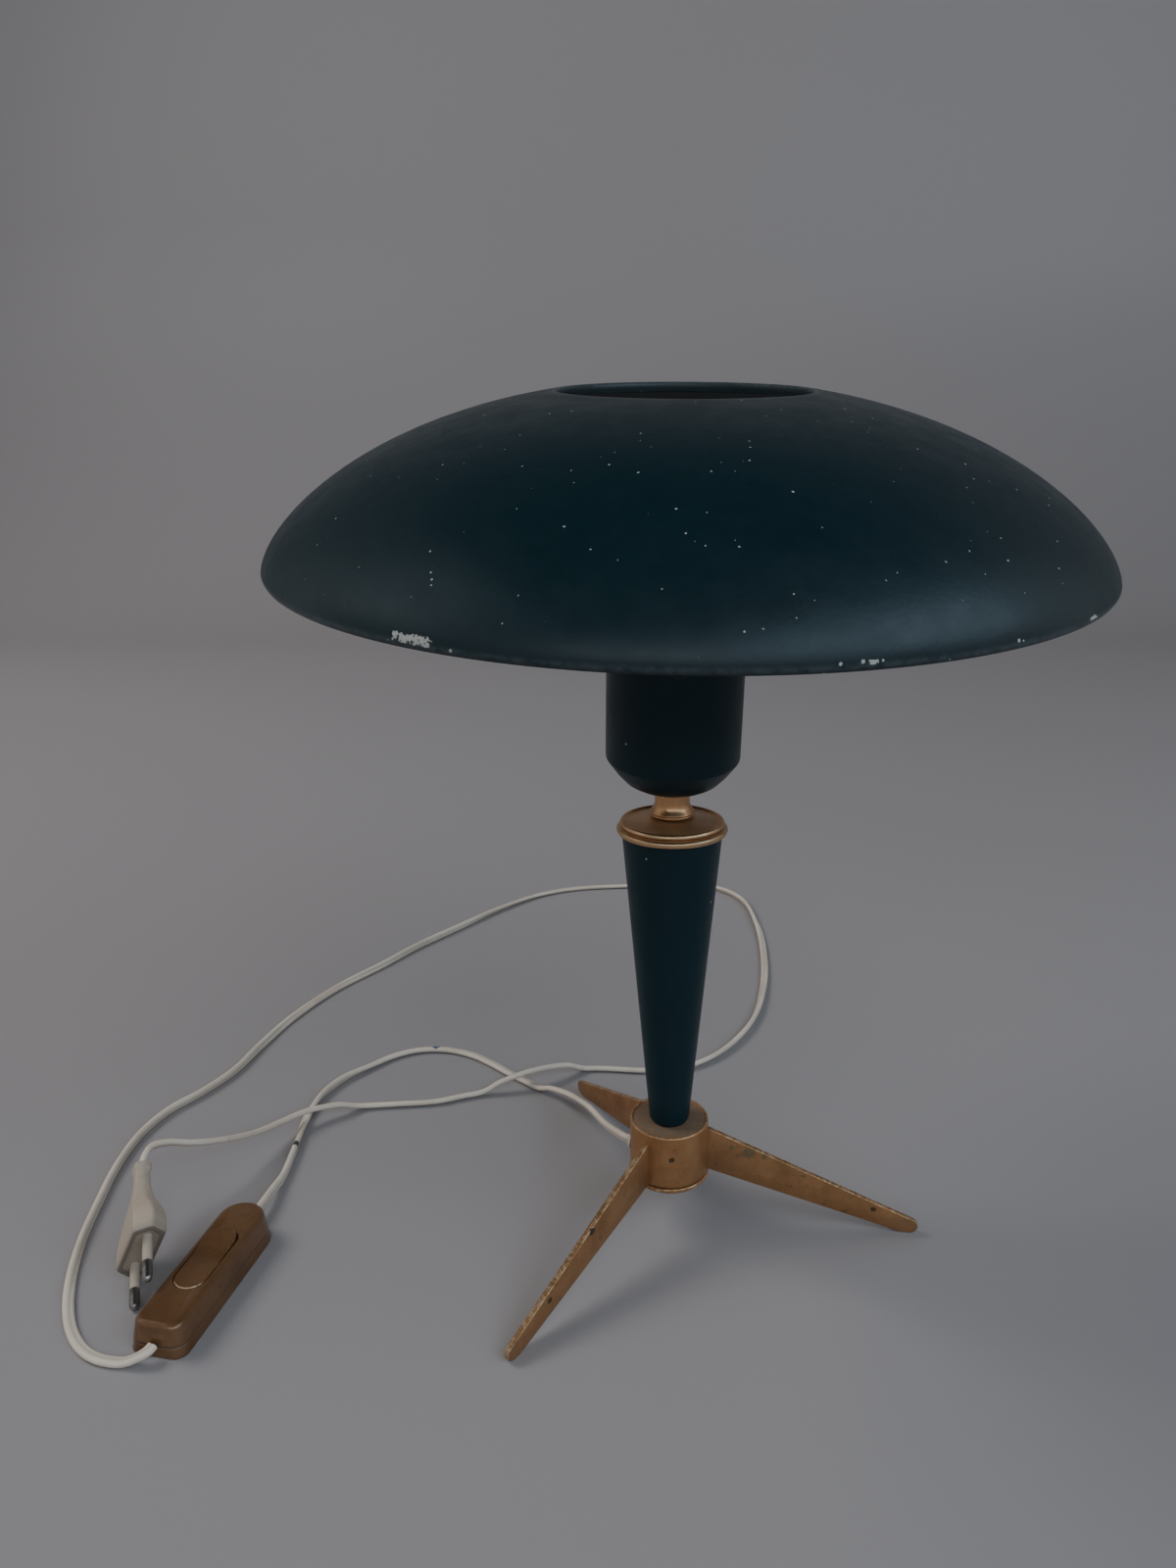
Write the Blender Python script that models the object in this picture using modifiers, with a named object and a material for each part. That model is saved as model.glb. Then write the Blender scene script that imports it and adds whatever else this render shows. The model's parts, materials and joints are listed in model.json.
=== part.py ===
"""Tripod table lamp with a wide dome shade on a ball joint, flat flex, inline switch and plug.

Metres, +Z up.  The origin is on the column's axis, in the plane the three feet stand on.
"""
import math

import bmesh
import bpy
from mathutils import Matrix, Vector

MM = 0.001
GAP = 0.3 * MM

# Shade
SHADE_RADIUS = 145.5 * MM
SHADE_WIDEST_Z = 289.7 * MM
SHADE_TOP_Z = 344.0 * MM
OPENING_RADIUS = 45.1 * MM
SHADE_SHEET = 0.9 * MM
DOME_POWER_R = 2.16
DOME_POWER_Z = 1.48
BRIM_SCREW_R = 140.6 * MM

# Ball joint: centre of the ball, and how far the head leans as it stands
PIVOT_Z = 211.1 * MM
LEAN_FORWARD = math.radians(6.9)
LEAN_RIGHT = math.radians(1.2)
BALL_R = 9.5 * MM
LINER_IN_R = 9.8 * MM
LINER_OUT_R = 10.7 * MM
SOCKET_R = 11.1 * MM
CLAMP_SCREW_R = 17.9 * MM

# Tripod foot
LEG_COUNT = 3
LEG_FIRST_AZIMUTH = math.radians(236.4)
LEG_THICKNESS = 2.3 * MM
LEG_REACH = 107.0 * MM
HUB_R = 16.8 * MM
HUB_BOTTOM_Z = 24.4 * MM
HUB_TOP_Z = 48.6 * MM
PLATE_R = 17.2 * MM
PLATE_BOTTOM_Z = 21.7 * MM
PLATE_TOP_Z = 24.1 * MM
PLATE_SCREW_R = 14.4 * MM
CORD_HOLE_AZIMUTH = math.radians(158.0)
CORD_HOLE_Z = 31.6 * MM

# Column and its clamping rod
COLUMN_BOTTOM_Z = 49.0 * MM
COLUMN_TOP_Z = 177.9 * MM
COLUMN_BOTTOM_R = 8.4 * MM
COLUMN_TOP_R = 19.95 * MM
COLUMN_WALL = 1.0 * MM
ROD_R = 4.0 * MM
ROD_BORE_R = 2.7 * MM

# Flex
CORD_R = 2.25 * MM
LEAD_R = 1.45 * MM

# Inline switch
SWITCH_LENGTH = 76.5 * MM
SWITCH_WIDTH = 24.0 * MM
SWITCH_HEIGHT = 13.6 * MM
SWITCH_SPLIT_Z = 4.6 * MM
SWITCH_WALL = 2.0 * MM
SWITCH_DRAFT = 2.4 * MM
SWITCH_PLACE = Vector((-186.0, -56.8, 0.0)) * MM
SWITCH_TURN = math.radians(-8.0)
SWITCH_ENTRY_Z = 5.6 * MM
ROCKER_LENGTH = 34.2 * MM
ROCKER_WIDTH = 13.4 * MM
ROCKER_HEIGHT = 6.4 * MM
ROCKER_AXIS_Z = 10.5 * MM
ROCKER_REST = math.radians(3.4)

# Two-pin plug, resting on the edge of its body and the tip of a pin
PLUG_PLACE = Vector((-212.4, -57.9, 15.4)) * MM
PLUG_YAW = math.radians(-66.8)
PLUG_PITCH = math.radians(19.0)
PLUG_ROLL = math.radians(68.0)
PLUG_LENGTH = 42.0 * MM
PIN_SPACING = 18.6 * MM
PIN_R = 2.0 * MM

PARTS = "tripod_table_lamp"
CUTTERS = "cutting_shapes"


def new_collection(name):
    made = bpy.data.collections.new(name)
    bpy.context.scene.collection.children.link(made)
    return made


for old in list(bpy.data.objects):
    bpy.data.objects.remove(old, do_unlink=True)
parts = new_collection(PARTS)
cutters = new_collection(CUTTERS)


def material(name, colour, roughness, metallic=0.0):
    made = bpy.data.materials.new(name)
    made.use_nodes = True
    shader = made.node_tree.nodes["Principled BSDF"]
    shader.inputs["Base Color"].default_value = (*colour, 1.0)
    shader.inputs["Roughness"].default_value = roughness
    shader.inputs["Metallic"].default_value = metallic
    made.diffuse_color = (*colour, 1.0)
    return made


LACQUER = material("petrol_lacquer", (0.010, 0.040, 0.052), 0.42)
GOLD_PAINT = material("gold_paint", (0.330, 0.150, 0.050), 0.45, 0.6)
BRASS = material("brass", (0.450, 0.230, 0.090), 0.32, 0.9)
STEEL = material("zinc_plated_steel", (0.450, 0.440, 0.420), 0.35, 1.0)
NYLON = material("nylon", (0.700, 0.680, 0.620), 0.5)
CERAMIC = material("ceramic", (0.780, 0.760, 0.710), 0.35)
HOLDER_PLASTIC = material("phenolic", (0.018, 0.014, 0.012), 0.35)
GLASS = material("opal_glass", (0.900, 0.880, 0.840), 0.15)
FLEX = material("ivory_flex", (0.520, 0.460, 0.390), 0.45)
PLUG_VINYL = material("ivory_vinyl", (0.500, 0.440, 0.370), 0.55)
SWITCH_GOLD = material("gold_painted_plastic", (0.240, 0.095, 0.028), 0.42, 0.4)


def mesh_object(name, mesh, paint, collection=None):
    ob = bpy.data.objects.new(name, mesh)
    (collection or parts).objects.link(ob)
    if paint:
        mesh.materials.append(paint)
    return ob


def evaluated(ob):
    """The object's shape with its modifiers, as a mesh of its own."""
    bpy.context.view_layer.update()
    graph = bpy.context.evaluated_depsgraph_get()
    return bpy.data.meshes.new_from_object(ob.evaluated_get(graph), depsgraph=graph)


def settle(ob, sharp=38.0):
    """Turn modifiers or a curve into a plain welded mesh, smooth but for its real edges."""
    mesh = evaluated(ob)
    welded = bmesh.new()
    welded.from_mesh(mesh)
    bmesh.ops.remove_doubles(welded, verts=welded.verts, dist=0.000003)
    bmesh.ops.dissolve_degenerate(welded, edges=welded.edges, dist=0.000002)
    welded.to_mesh(mesh)
    welded.free()
    mesh.shade_smooth()
    mesh.set_sharp_from_angle(angle=math.radians(sharp))
    if ob.type == "MESH":
        ob.modifiers.clear()
        ob.data = mesh
        return ob
    made = bpy.data.objects.new("settled", mesh)
    for collection in ob.users_collection:
        collection.objects.link(made)
    made.matrix_world = ob.matrix_world
    name = ob.name
    bpy.data.objects.remove(ob)
    made.name = name
    return made


def turned(name, profile, paint, segments=24, closed=True, collection=None, sheet=0.0):
    """Turn a profile of (radius, height) in millimetres about Z.

    The profile runs down its outer side; a closed one comes back up its inner side.
    """
    mesh = bpy.data.meshes.new(name)
    shape = bmesh.new()
    verts = [shape.verts.new((r * MM, 0.0, z * MM)) for r, z in profile]
    for a, b in zip(verts, verts[1:]):
        shape.edges.new((a, b))
    if closed:
        shape.edges.new((verts[-1], verts[0]))
    shape.to_mesh(mesh)
    shape.free()
    ob = mesh_object(name, mesh, paint, collection)
    screw = ob.modifiers.new("turn", "SCREW")
    screw.axis = "Z"
    screw.angle = math.tau
    screw.steps = segments
    screw.render_steps = segments
    screw.use_merge_vertices = True
    screw.merge_threshold = 0.00002
    if sheet:
        solid = ob.modifiers.new("sheet", "SOLIDIFY")
        solid.thickness = sheet
        solid.offset = -1.0
        solid.use_even_offset = True
    return settle(ob)


def outline_plate(name, loops, thickness, paint, collection=None, edge=0.0, edge_rings=0):
    """A flat outline in XY, in millimetres, extruded to its thickness about z=0."""
    curve = bpy.data.curves.new(name, "CURVE")
    curve.dimensions = "2D"
    curve.fill_mode = "BOTH"
    curve.extrude = thickness / 2 - edge
    curve.bevel_depth = edge
    curve.bevel_resolution = edge_rings
    curve.offset = -edge
    for points in loops:
        spline = curve.splines.new("POLY")
        spline.points.add(len(points) - 1)
        for point, (x, y) in zip(spline.points, points):
            point.co = (x * MM, y * MM, 0.0, 1.0)
        spline.use_cyclic_u = True
    ob = bpy.data.objects.new(name, curve)
    (collection or parts).objects.link(ob)
    if paint:
        curve.materials.append(paint)
    return settle(ob)


def round_bar(name, start, end, radius, paint, sides=16, collection=None):
    """A plain cylinder between two points."""
    start, end = Vector(start), Vector(end)
    mesh = bpy.data.meshes.new(name)
    shape = bmesh.new()
    bmesh.ops.create_cone(
        shape, cap_ends=True, segments=sides, radius1=radius, radius2=radius,
        depth=(end - start).length,
    )
    shape.to_mesh(mesh)
    shape.free()
    ob = mesh_object(name, mesh, paint, collection)
    turn = (end - start).to_track_quat("Z", "Y").to_matrix().to_4x4()
    ob.matrix_world = Matrix.Translation((start + end) / 2) @ turn
    return ob


def block(name, size, place, paint, collection=None, turn=0.0):
    mesh = bpy.data.meshes.new(name)
    shape = bmesh.new()
    bmesh.ops.create_cube(shape, size=1.0)
    bmesh.ops.scale(shape, vec=Vector(size), verts=shape.verts)
    shape.to_mesh(mesh)
    shape.free()
    ob = mesh_object(name, mesh, paint, collection)
    ob.matrix_world = Matrix.Rotation(turn, 4, "Z") @ Matrix.Translation(Vector(place))
    return ob


def drill(name, place, low, high, radius, sides=12):
    """A vertical cutting cylinder; heights and radius in millimetres."""
    start, end = place.copy(), place.copy()
    start.z, end.z = low * MM, high * MM
    return round_bar(name, start, end, radius * MM, None, sides, cutters)


def combine(ob, others, operation="DIFFERENCE"):
    """Cut with, or join to, each of the other shapes, which are used up."""
    for other in others:
        step = ob.modifiers.new(other.name, "BOOLEAN")
        step.operation = operation
        step.solver = "EXACT"
        step.object = other
        other.hide_render = True
        other.display_type = "WIRE"
    settle(ob)
    for other in others:
        bpy.data.objects.remove(other)
    return ob


def tube(name, points, radius, paint, resolution=2):
    """A round tube through the points, with closed ends."""
    curve = bpy.data.curves.new(name, "CURVE")
    curve.dimensions = "3D"
    curve.bevel_depth = radius
    curve.bevel_resolution = resolution
    curve.use_fill_caps = True
    spline = curve.splines.new("POLY")
    spline.points.add(len(points) - 1)
    for point, co in zip(spline.points, points):
        point.co = (*co, 1.0)
    ob = bpy.data.objects.new(name, curve)
    parts.objects.link(ob)
    curve.materials.append(paint)
    return settle(ob)


def smooth_route(route, spacing):
    """Evenly spaced points on a centripetal Catmull-Rom curve through the route."""
    route = [Vector(p) for p in route]
    ends = [2 * route[0] - route[1]] + route + [2 * route[-1] - route[-2]]
    fine = []
    for p0, p1, p2, p3 in zip(ends, ends[1:], ends[2:], ends[3:]):
        t1 = (p1 - p0).length ** 0.5
        t2 = t1 + (p2 - p1).length ** 0.5
        t3 = t2 + (p3 - p2).length ** 0.5
        for step in range(16):
            t = t1 + (t2 - t1) * step / 16
            a1 = p0.lerp(p1, t / t1)
            a2 = p1.lerp(p2, (t - t1) / (t2 - t1))
            a3 = p2.lerp(p3, (t - t2) / (t3 - t2))
            b1 = a1.lerp(a2, t / t2)
            b2 = a2.lerp(a3, (t - t1) / (t3 - t1))
            fine.append(b1.lerp(b2, (t - t1) / (t2 - t1)))
    fine.append(route[-1])
    lengths = [0.0]
    for a, b in zip(fine, fine[1:]):
        lengths.append(lengths[-1] + (b - a).length)
    count = max(2, round(lengths[-1] / spacing))
    even = []
    index = 0
    for step in range(count + 1):
        want = lengths[-1] * step / count
        while index < len(fine) - 2 and lengths[index + 1] < want:
            index += 1
        span = lengths[index + 1] - lengths[index]
        even.append(fine[index].lerp(fine[index + 1], (want - lengths[index]) / span))
    return even


def arc(centre_r, centre_z, radius, start, end, steps):
    """Profile points on an arc; angles in degrees from the outward direction, up positive."""
    points = []
    for i in range(steps + 1):
        a = math.radians(start + (end - start) * i / steps)
        points.append((centre_r + radius * math.cos(a), centre_z + radius * math.sin(a)))
    return points


def around(radius, azimuth, z):
    return Vector((radius * math.cos(azimuth), radius * math.sin(azimuth), z))


# ---------------------------------------------------------------- tripod foot

def leg_outline():
    """Side view of a leg: distance out from the column's axis, and height."""
    reach = LEG_REACH / MM
    low = HUB_BOTTOM_Z / MM
    tip = []
    for i in range(6):
        a = math.radians(62 - 30.4 * i)
        tip.append((reach - 3.8 + 3.8 * math.cos(a), 3.35 + 3.35 * math.sin(a)))
    foot = [(reach - 3.8, 0.0), (reach - 6.4, 0.0)]
    return [(8.3, 44.3), (17.4, 44.3)] + tip[:-1] + foot + [(17.4, low), (8.3, low)]


def make_legs():
    for k in range(LEG_COUNT):
        ob = outline_plate(f"leg_{k + 1}", [leg_outline()], LEG_THICKNESS, GOLD_PAINT)
        azimuth = LEG_FIRST_AZIMUTH + k * math.tau / LEG_COUNT
        stand_up = Matrix.Rotation(math.pi / 2, 4, "X")
        ob.matrix_world = Matrix.Rotation(azimuth, 4, "Z") @ stand_up


def make_hub():
    rim, top, low = HUB_R / MM, HUB_TOP_Z / MM, HUB_BOTTOM_Z / MM
    hub = turned("hub", [
        (rim - 0.7, top), (rim - 0.2, top - 0.2), (rim, top - 0.7), (rim, low + 0.3),
        (rim - 0.3, low), (12.0, low), (12.0, 44.8), (4.4, 44.8), (4.4, top - 0.6),
        (rim - 1.3, top - 0.6),
    ], GOLD_PAINT, 36)
    cuts = []
    for k in range(LEG_COUNT):
        azimuth = LEG_FIRST_AZIMUTH + k * math.tau / LEG_COUNT
        slot = (10.4 * MM, LEG_THICKNESS + 2 * GAP, 22.0 * MM)
        cuts.append(block(f"slot_{k}", slot, (15.6 * MM, 0.0, 33.6 * MM), None, cutters, azimuth))
        screw_at = around(PLATE_SCREW_R, azimuth + math.pi / 3, 0.0)
        cuts.append(drill(f"tap_{k}", screw_at, 23.0, 29.8, 1.2))
    cuts.append(round_bar(
        "cord_hole", around(8.0 * MM, CORD_HOLE_AZIMUTH, CORD_HOLE_Z),
        around(22.0 * MM, CORD_HOLE_AZIMUTH, CORD_HOLE_Z), 3.0 * MM, None, 16, cutters,
    ))
    return combine(hub, cuts)


def make_base_plate():
    edge, top, low = PLATE_R / MM, PLATE_TOP_Z / MM, PLATE_BOTTOM_Z / MM
    plate = turned("base_plate", [
        (0.0, top), (edge - 0.5, top), (edge, top - 0.5), (edge - 0.1, low + 0.8),
        (edge - 0.9, low), (0.0, low),
    ], GOLD_PAINT, 36, closed=False)
    cuts = []
    for k in range(LEG_COUNT):
        azimuth = LEG_FIRST_AZIMUTH + (k + 0.5) * math.tau / LEG_COUNT
        sink = turned(f"sink_{k}", [
            (0.0, top + 1.0), (1.35, top + 1.0), (1.35, low + 1.2), (2.55, low - 0.1),
            (2.55, low - 1.0), (0.0, low - 1.0),
        ], None, 12, closed=False, collection=cutters)
        sink.location = around(PLATE_SCREW_R, azimuth, 0.0)
        cuts.append(sink)
    return combine(plate, cuts)


def screw_profile(head_r, head_h, shank_r, length, countersunk=False):
    """A screw standing on its head, its point up: the head's flat is at z=0."""
    if countersunk:
        head = [(head_r, 0.15), (head_r - 0.1, 0.0)]
    else:
        head = [(head_r, head_h), (head_r, 0.3), (head_r - 0.3, 0.0)]
    point = [(0.0, length), (shank_r - 0.4, length), (shank_r, length - 0.4), (shank_r, head_h)]
    return point + head + [(0.0, 0.0)]


def make_screw(name, profile, place, slot_width, slot_depth, point_up=True):
    """A turned screw with a straight slot across its head."""
    screw = turned(name, profile, STEEL, 12, closed=False)
    slot = block(
        f"{name}_slot", (8.0 * MM, slot_width * MM, 2 * slot_depth * MM), (0.0, 0.0, 0.0),
        None, cutters, 0.5,
    )
    combine(screw, [slot])
    turn = Matrix.Identity(4) if point_up else Matrix.Rotation(math.pi, 4, "X")
    screw.matrix_world = Matrix.Translation(Vector(place)) @ turn
    return screw


def make_foot():
    make_legs()
    make_hub()
    make_base_plate()
    for k in range(LEG_COUNT):
        azimuth = LEG_FIRST_AZIMUTH + (k + 0.5) * math.tau / LEG_COUNT
        place = around(PLATE_SCREW_R, azimuth, PLATE_BOTTOM_Z + 0.1 * MM)
        make_screw(
            f"plate_screw_{k + 1}", screw_profile(2.2, 1.2, 1.0, 7.4, True), place, 0.6, 0.5,
        )
    bush = turned("cord_bushing", [
        (3.5, 1.2), (3.9, 0.9), (3.9, 0.4), (2.7, 0.4), (2.7, -5.0), (1.75, -5.0), (1.75, 1.2),
    ], NYLON, 20)
    outward = around(1.0, CORD_HOLE_AZIMUTH, 0.0)
    bush.matrix_world = (
        Matrix.Translation(around(HUB_R, CORD_HOLE_AZIMUTH, CORD_HOLE_Z))
        @ outward.to_track_quat("Z", "Y").to_matrix().to_4x4()
    )


# ---------------------------------------------------------------- column and clamping rod

def hexagon(across_flats):
    corner = across_flats / math.sqrt(3)
    angles = [math.tau * i / 6 for i in range(6)]
    return [(corner * math.cos(a), corner * math.sin(a)) for a in angles]


def make_column():
    low_r, top_r = COLUMN_BOTTOM_R / MM, COLUMN_TOP_R / MM
    low, top, wall = COLUMN_BOTTOM_Z / MM, COLUMN_TOP_Z / MM, COLUMN_WALL / MM
    rod, bore = ROD_R / MM, ROD_BORE_R / MM
    turned("column", [
        (top_r, top), (low_r + 0.1, low + 0.9), (low_r - 0.1, low + 0.25), (low_r - 0.4, low),
        (low_r - wall, low), (top_r - wall, top),
    ], LACQUER, 36)
    turned("column_centring_ring", [
        (7.0, 52.0), (7.0, 48.7), (7.8, 48.7), (7.8, 48.3), (rod + 0.35, 48.3), (rod + 0.35, 52.0),
    ], HOLDER_PLASTIC, 24)
    turned("threaded_rod", [
        (rod - 0.3, 190.9), (rod, 190.6), (rod, 39.0), (rod - 0.3, 38.7), (bore, 38.7), (bore, 190.9),
    ], STEEL, 20)
    turned("rod_washer", [
        (7.4, 44.4), (7.4, 43.6), (rod + 0.35, 43.6), (rod + 0.35, 44.4),
    ], STEEL, 20)
    nut = outline_plate("rod_nut", [hexagon(12.0)], 3.0 * MM, STEEL)
    nut.location = (0.0, 0.0, 41.8 * MM)
    combine(nut, [drill("nut_bore", Vector(), 38.0, 46.0, rod + 0.35, 20)])
    turned("collar", [
        (7.6, 185.0), (10.2, 184.6), (14.2, 183.7), (18.1, 183.1), (18.8, 183.4), (19.6, 183.7),
        (20.2, 183.2), (20.4, 182.5), (19.9, 181.6), (20.8, 181.4), (21.5, 180.7), (21.7, 179.7),
        (21.3, 178.8), (20.6, 178.2), (18.5, 178.2), (18.2, 175.3), (15.5, 175.3), (15.5, 177.2),
        (rod + 0.35, 177.2), (rod + 0.35, 185.0),
    ], BRASS, 40)


def make_ball_stud():
    """The brass neck with the joint's ball on top, turned in one piece."""
    pivot, ball, rod = PIVOT_Z / MM, BALL_R / MM, ROD_R / MM
    side = arc(0.0, pivot, ball, 72, -66, 10)
    foot = [
        (3.8, 196.6), (4.6, 195.6), (6.3, 195.1), (6.75, 194.6), (6.75, 192.0), (6.9, 190.3),
        (7.4, 188.6), (8.1, 187.1), (8.1, 185.8), (7.8, 185.4),
    ]
    inside = [(rod + 0.35, 185.4), (rod + 0.35, 191.4), (2.5, 192.6), (2.5, side[0][1])]
    return turned("ball_stud", side + foot + inside, BRASS, 28)


def spherical_ring(name, low_angle, high_angle, steps, paint):
    """Part of a spherical shell around the ball, between two angles above the horizontal."""
    pivot = PIVOT_Z / MM
    outer = arc(0.0, pivot, LINER_OUT_R / MM, high_angle, low_angle, steps)
    inner = arc(0.0, pivot, LINER_IN_R / MM, low_angle, high_angle, steps)
    return turned(name, outer + inner, paint, 24)


# ---------------------------------------------------------------- head, drawn upright

def dome_profile(points):
    """Outside of the shade from its top opening to its widest circle."""
    top_r, wide_r = OPENING_RADIUS, SHADE_RADIUS
    share = 1 - (top_r / wide_r) ** DOME_POWER_R
    rise = (SHADE_TOP_Z - SHADE_WIDEST_Z) / share ** (1 / DOME_POWER_Z)
    side = []
    for i in range(points + 1):
        t = 1 - i / points
        r = wide_r - (wide_r - top_r) * t ** 1.9
        z = SHADE_WIDEST_Z + rise * max(0.0, 1 - (r / wide_r) ** DOME_POWER_R) ** (1 / DOME_POWER_Z)
        side.append((r / MM, z / MM))
    return side


def brim_screw_place(k, z):
    return around(BRIM_SCREW_R, math.radians(150 + 120 * k), z * MM)


def make_shade():
    top, wide = SHADE_TOP_Z / MM, SHADE_WIDEST_Z / MM
    mouth, brim = OPENING_RADIUS / MM, SHADE_RADIUS / MM
    lip = [(mouth - 1.6, top - 3.6), (mouth - 1.5, top - 0.9), (mouth - 0.9, top - 0.1)]
    curl = [(brim - 0.3, wide - 0.9), (brim - 1.2, wide - 1.5), (brim - 7.2, wide - 1.5)]
    shade = turned(
        "shade", lip + dome_profile(11) + curl, LACQUER, 56, closed=False, sheet=SHADE_SHEET,
    )
    holes = []
    for k in range(3):
        holes.append(drill(f"brim_hole_{k}", brim_screw_place(k, 0.0), 285.0, 289.6, 1.3, 16))
    return combine(shade, holes)


def make_spider():
    """Ring on the lampholder with three flat arms out to the shade's turned-in brim."""
    ring = turned("shade_spider", [
        (24.4, 261.7), (24.4, 260.3), (20.3, 260.3), (20.3, 261.7),
    ], STEEL, 30)
    arms = []
    for k in range(3):
        arm = outline_plate(f"arm_{k}", [[
            (22.6, 260.32), (34.0, 260.32), (129.0, 289.5), (142.4, 289.5), (142.4, 290.7),
            (128.7, 290.7), (33.7, 261.68), (22.6, 261.68),
        ]], 8.0 * MM, STEEL, cutters)
        azimuth = math.radians(150 + 120 * k)
        arm.matrix_world = Matrix.Rotation(azimuth, 4, "Z") @ Matrix.Rotation(math.pi / 2, 4, "X")
        arms.append(arm)
    combine(ring, arms, "UNION")
    return combine(ring, [
        drill(f"arm_hole_{k}", brim_screw_place(k, 0.0), 286.0, 294.0, 1.3) for k in range(3)
    ])


def make_socket():
    """The two halves that hold the ball's liners, and the screws that set their friction."""
    pivot, socket = PIVOT_Z / MM, SOCKET_R / MM
    hollow = arc(0.0, pivot, socket, -46, -1.5, 5)
    base = turned("socket_base", [
        (22.6, 210.8), (23.9, 209.4), (17.5, 201.5), (14.3, 199.9), (10.7, 199.4),
    ] + hollow, STEEL, 28)
    crown = arc(0.0, pivot, socket, 1.5, 65.5, 6)
    ring = turned("clamp_ring", [
        (14.8, 223.2), (22.4, 217.0), (22.4, 211.4),
    ] + crown + [(crown[-1][0], 223.2)], STEEL, 28)
    head = [base, ring]
    for k in range(3):
        at = around(CLAMP_SCREW_R, math.radians(90 + 120 * k), 0.0)
        combine(ring, [
            drill(f"clamp_hole_{k}", at, 205.0, 226.0, 1.6),
            drill(f"clamp_spot_{k}", at, 218.0, 226.0, 2.9, 16),
        ])
        combine(base, [drill(f"base_hole_{k}", at, 205.0, 215.0, 1.6)])
        head.append(make_screw(
            f"clamp_screw_{k + 1}", screw_profile(2.4, 1.9, 1.25, 13.2),
            at + Vector((0.0, 0.0, 220.3 * MM)), 0.7, 0.8, point_up=False,
        ))
    return head


def make_lampholder():
    rod, bore = ROD_R / MM, ROD_BORE_R / MM
    head = [
        turned("holder_nipple", [
            (rod, 231.0), (rod, 222.2), (bore, 222.2), (bore, 231.0),
        ], STEEL, 16),
        turned("holder_cap", [
            (19.6, 243.7), (20.0, 239.7), (17.5, 232.2), (12.0, 227.9), (9.0, 226.3), (9.0, 223.6),
            (4.4, 223.6), (4.4, 229.7), (12.0, 231.9), (15.8, 235.9), (17.6, 240.7), (17.8, 243.7),
        ], HOLDER_PLASTIC, 28),
        turned("holder_core", [
            (16.9, 243.3), (16.9, 240.7), (15.0, 236.3), (11.6, 233.0), (6.0, 232.6), (6.0, 239.5),
            (14.0, 239.5), (14.0, 243.3),
        ], CERAMIC, 24),
        turned("holder_sleeve", [
            (18.6, 267.7), (20.0, 266.7), (20.0, 244.1), (14.4, 244.1), (14.4, 266.3), (15.4, 267.7),
        ], HOLDER_PLASTIC, 28),
        block("holder_contact", (5.0 * MM, 13.0 * MM, 0.8 * MM), (0, 0, 240.6 * MM), BRASS),
    ]
    for name, low in (("shade_nut_lower", 256.9), ("shade_nut_upper", 262.0)):
        head.append(turned(name, [
            (23.4, low + 3.0), (24.0, low + 2.5), (24.0, low + 0.5), (23.4, low), (20.3, low),
            (20.3, low + 3.0),
        ], HOLDER_PLASTIC, 24))
    head.append(tube("head_lead", [
        Vector((0.0, 0.0, z * MM)) for z in (222.8, 228.0, 233.5, 239.9)
    ], LEAD_R, FLEX))
    return head


def make_bulb():
    """Round lamp, 45 mm across, with a 27 mm screw cap."""
    globe_z, globe_r = 295.0, 22.5
    globe = arc(0.0, globe_z, globe_r, 90, -38, 8)
    throat = [(15.3, 275.0), (13.8, 270.0), (13.6, 266.6)]
    inside = [(12.6, 266.6), (12.8, 270.2), (14.4, 275.6)]
    hollow = arc(0.0, globe_z, globe_r - 1.0, -38, 90, 8)
    glass = turned("bulb_glass", globe + throat + inside + hollow, GLASS, 24, closed=False)
    cap = turned("bulb_cap", [
        (0.0, 266.2), (13.2, 266.2), (13.3, 247.7), (11.0, 244.7), (5.6, 242.3), (5.4, 241.7),
        (0.0, 241.7),
    ], STEEL, 24, closed=False)
    return [glass, cap]


def make_cup():
    return turned("cup", [
        (26.15, 251.1), (26.15, 210.5), (25.9, 209.2), (22.0, 204.1), (18.6, 200.3), (15.0, 198.4),
        (11.6, 197.8), (10.0, 197.8), (10.0, 198.8), (11.5, 198.8), (14.6, 199.3), (17.9, 201.1),
        (24.9, 210.0), (25.15, 211.0), (25.15, 251.1),
    ], LACQUER, 44)


def make_head():
    head = [make_cup()] + make_socket() + make_lampholder() + make_bulb()
    head += [make_spider(), make_shade()]
    for k in range(3):
        head.append(make_screw(
            f"spider_screw_{k + 1}", screw_profile(2.1, 1.1, 1.0, 5.6), brim_screw_place(k, 286.8),
            0.6, 0.6,
        ))
    return head


def lean(head):
    """Set the head as it stands, leaning about the middle of the ball."""
    turn = Matrix.Rotation(LEAN_RIGHT, 4, "Y") @ Matrix.Rotation(LEAN_FORWARD, 4, "X")
    pivot = bpy.data.objects.new("head_pivot", None)
    parts.objects.link(pivot)
    pivot.matrix_world = Matrix.Translation((0.0, 0.0, PIVOT_Z)) @ turn
    bpy.context.view_layer.update()
    for ob in head:
        upright = ob.matrix_world.copy()
        ob.parent = pivot
        ob.matrix_parent_inverse = Matrix.Translation((0.0, 0.0, -PIVOT_Z))
        ob.matrix_basis = upright


# ---------------------------------------------------------------- inline switch

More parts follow.
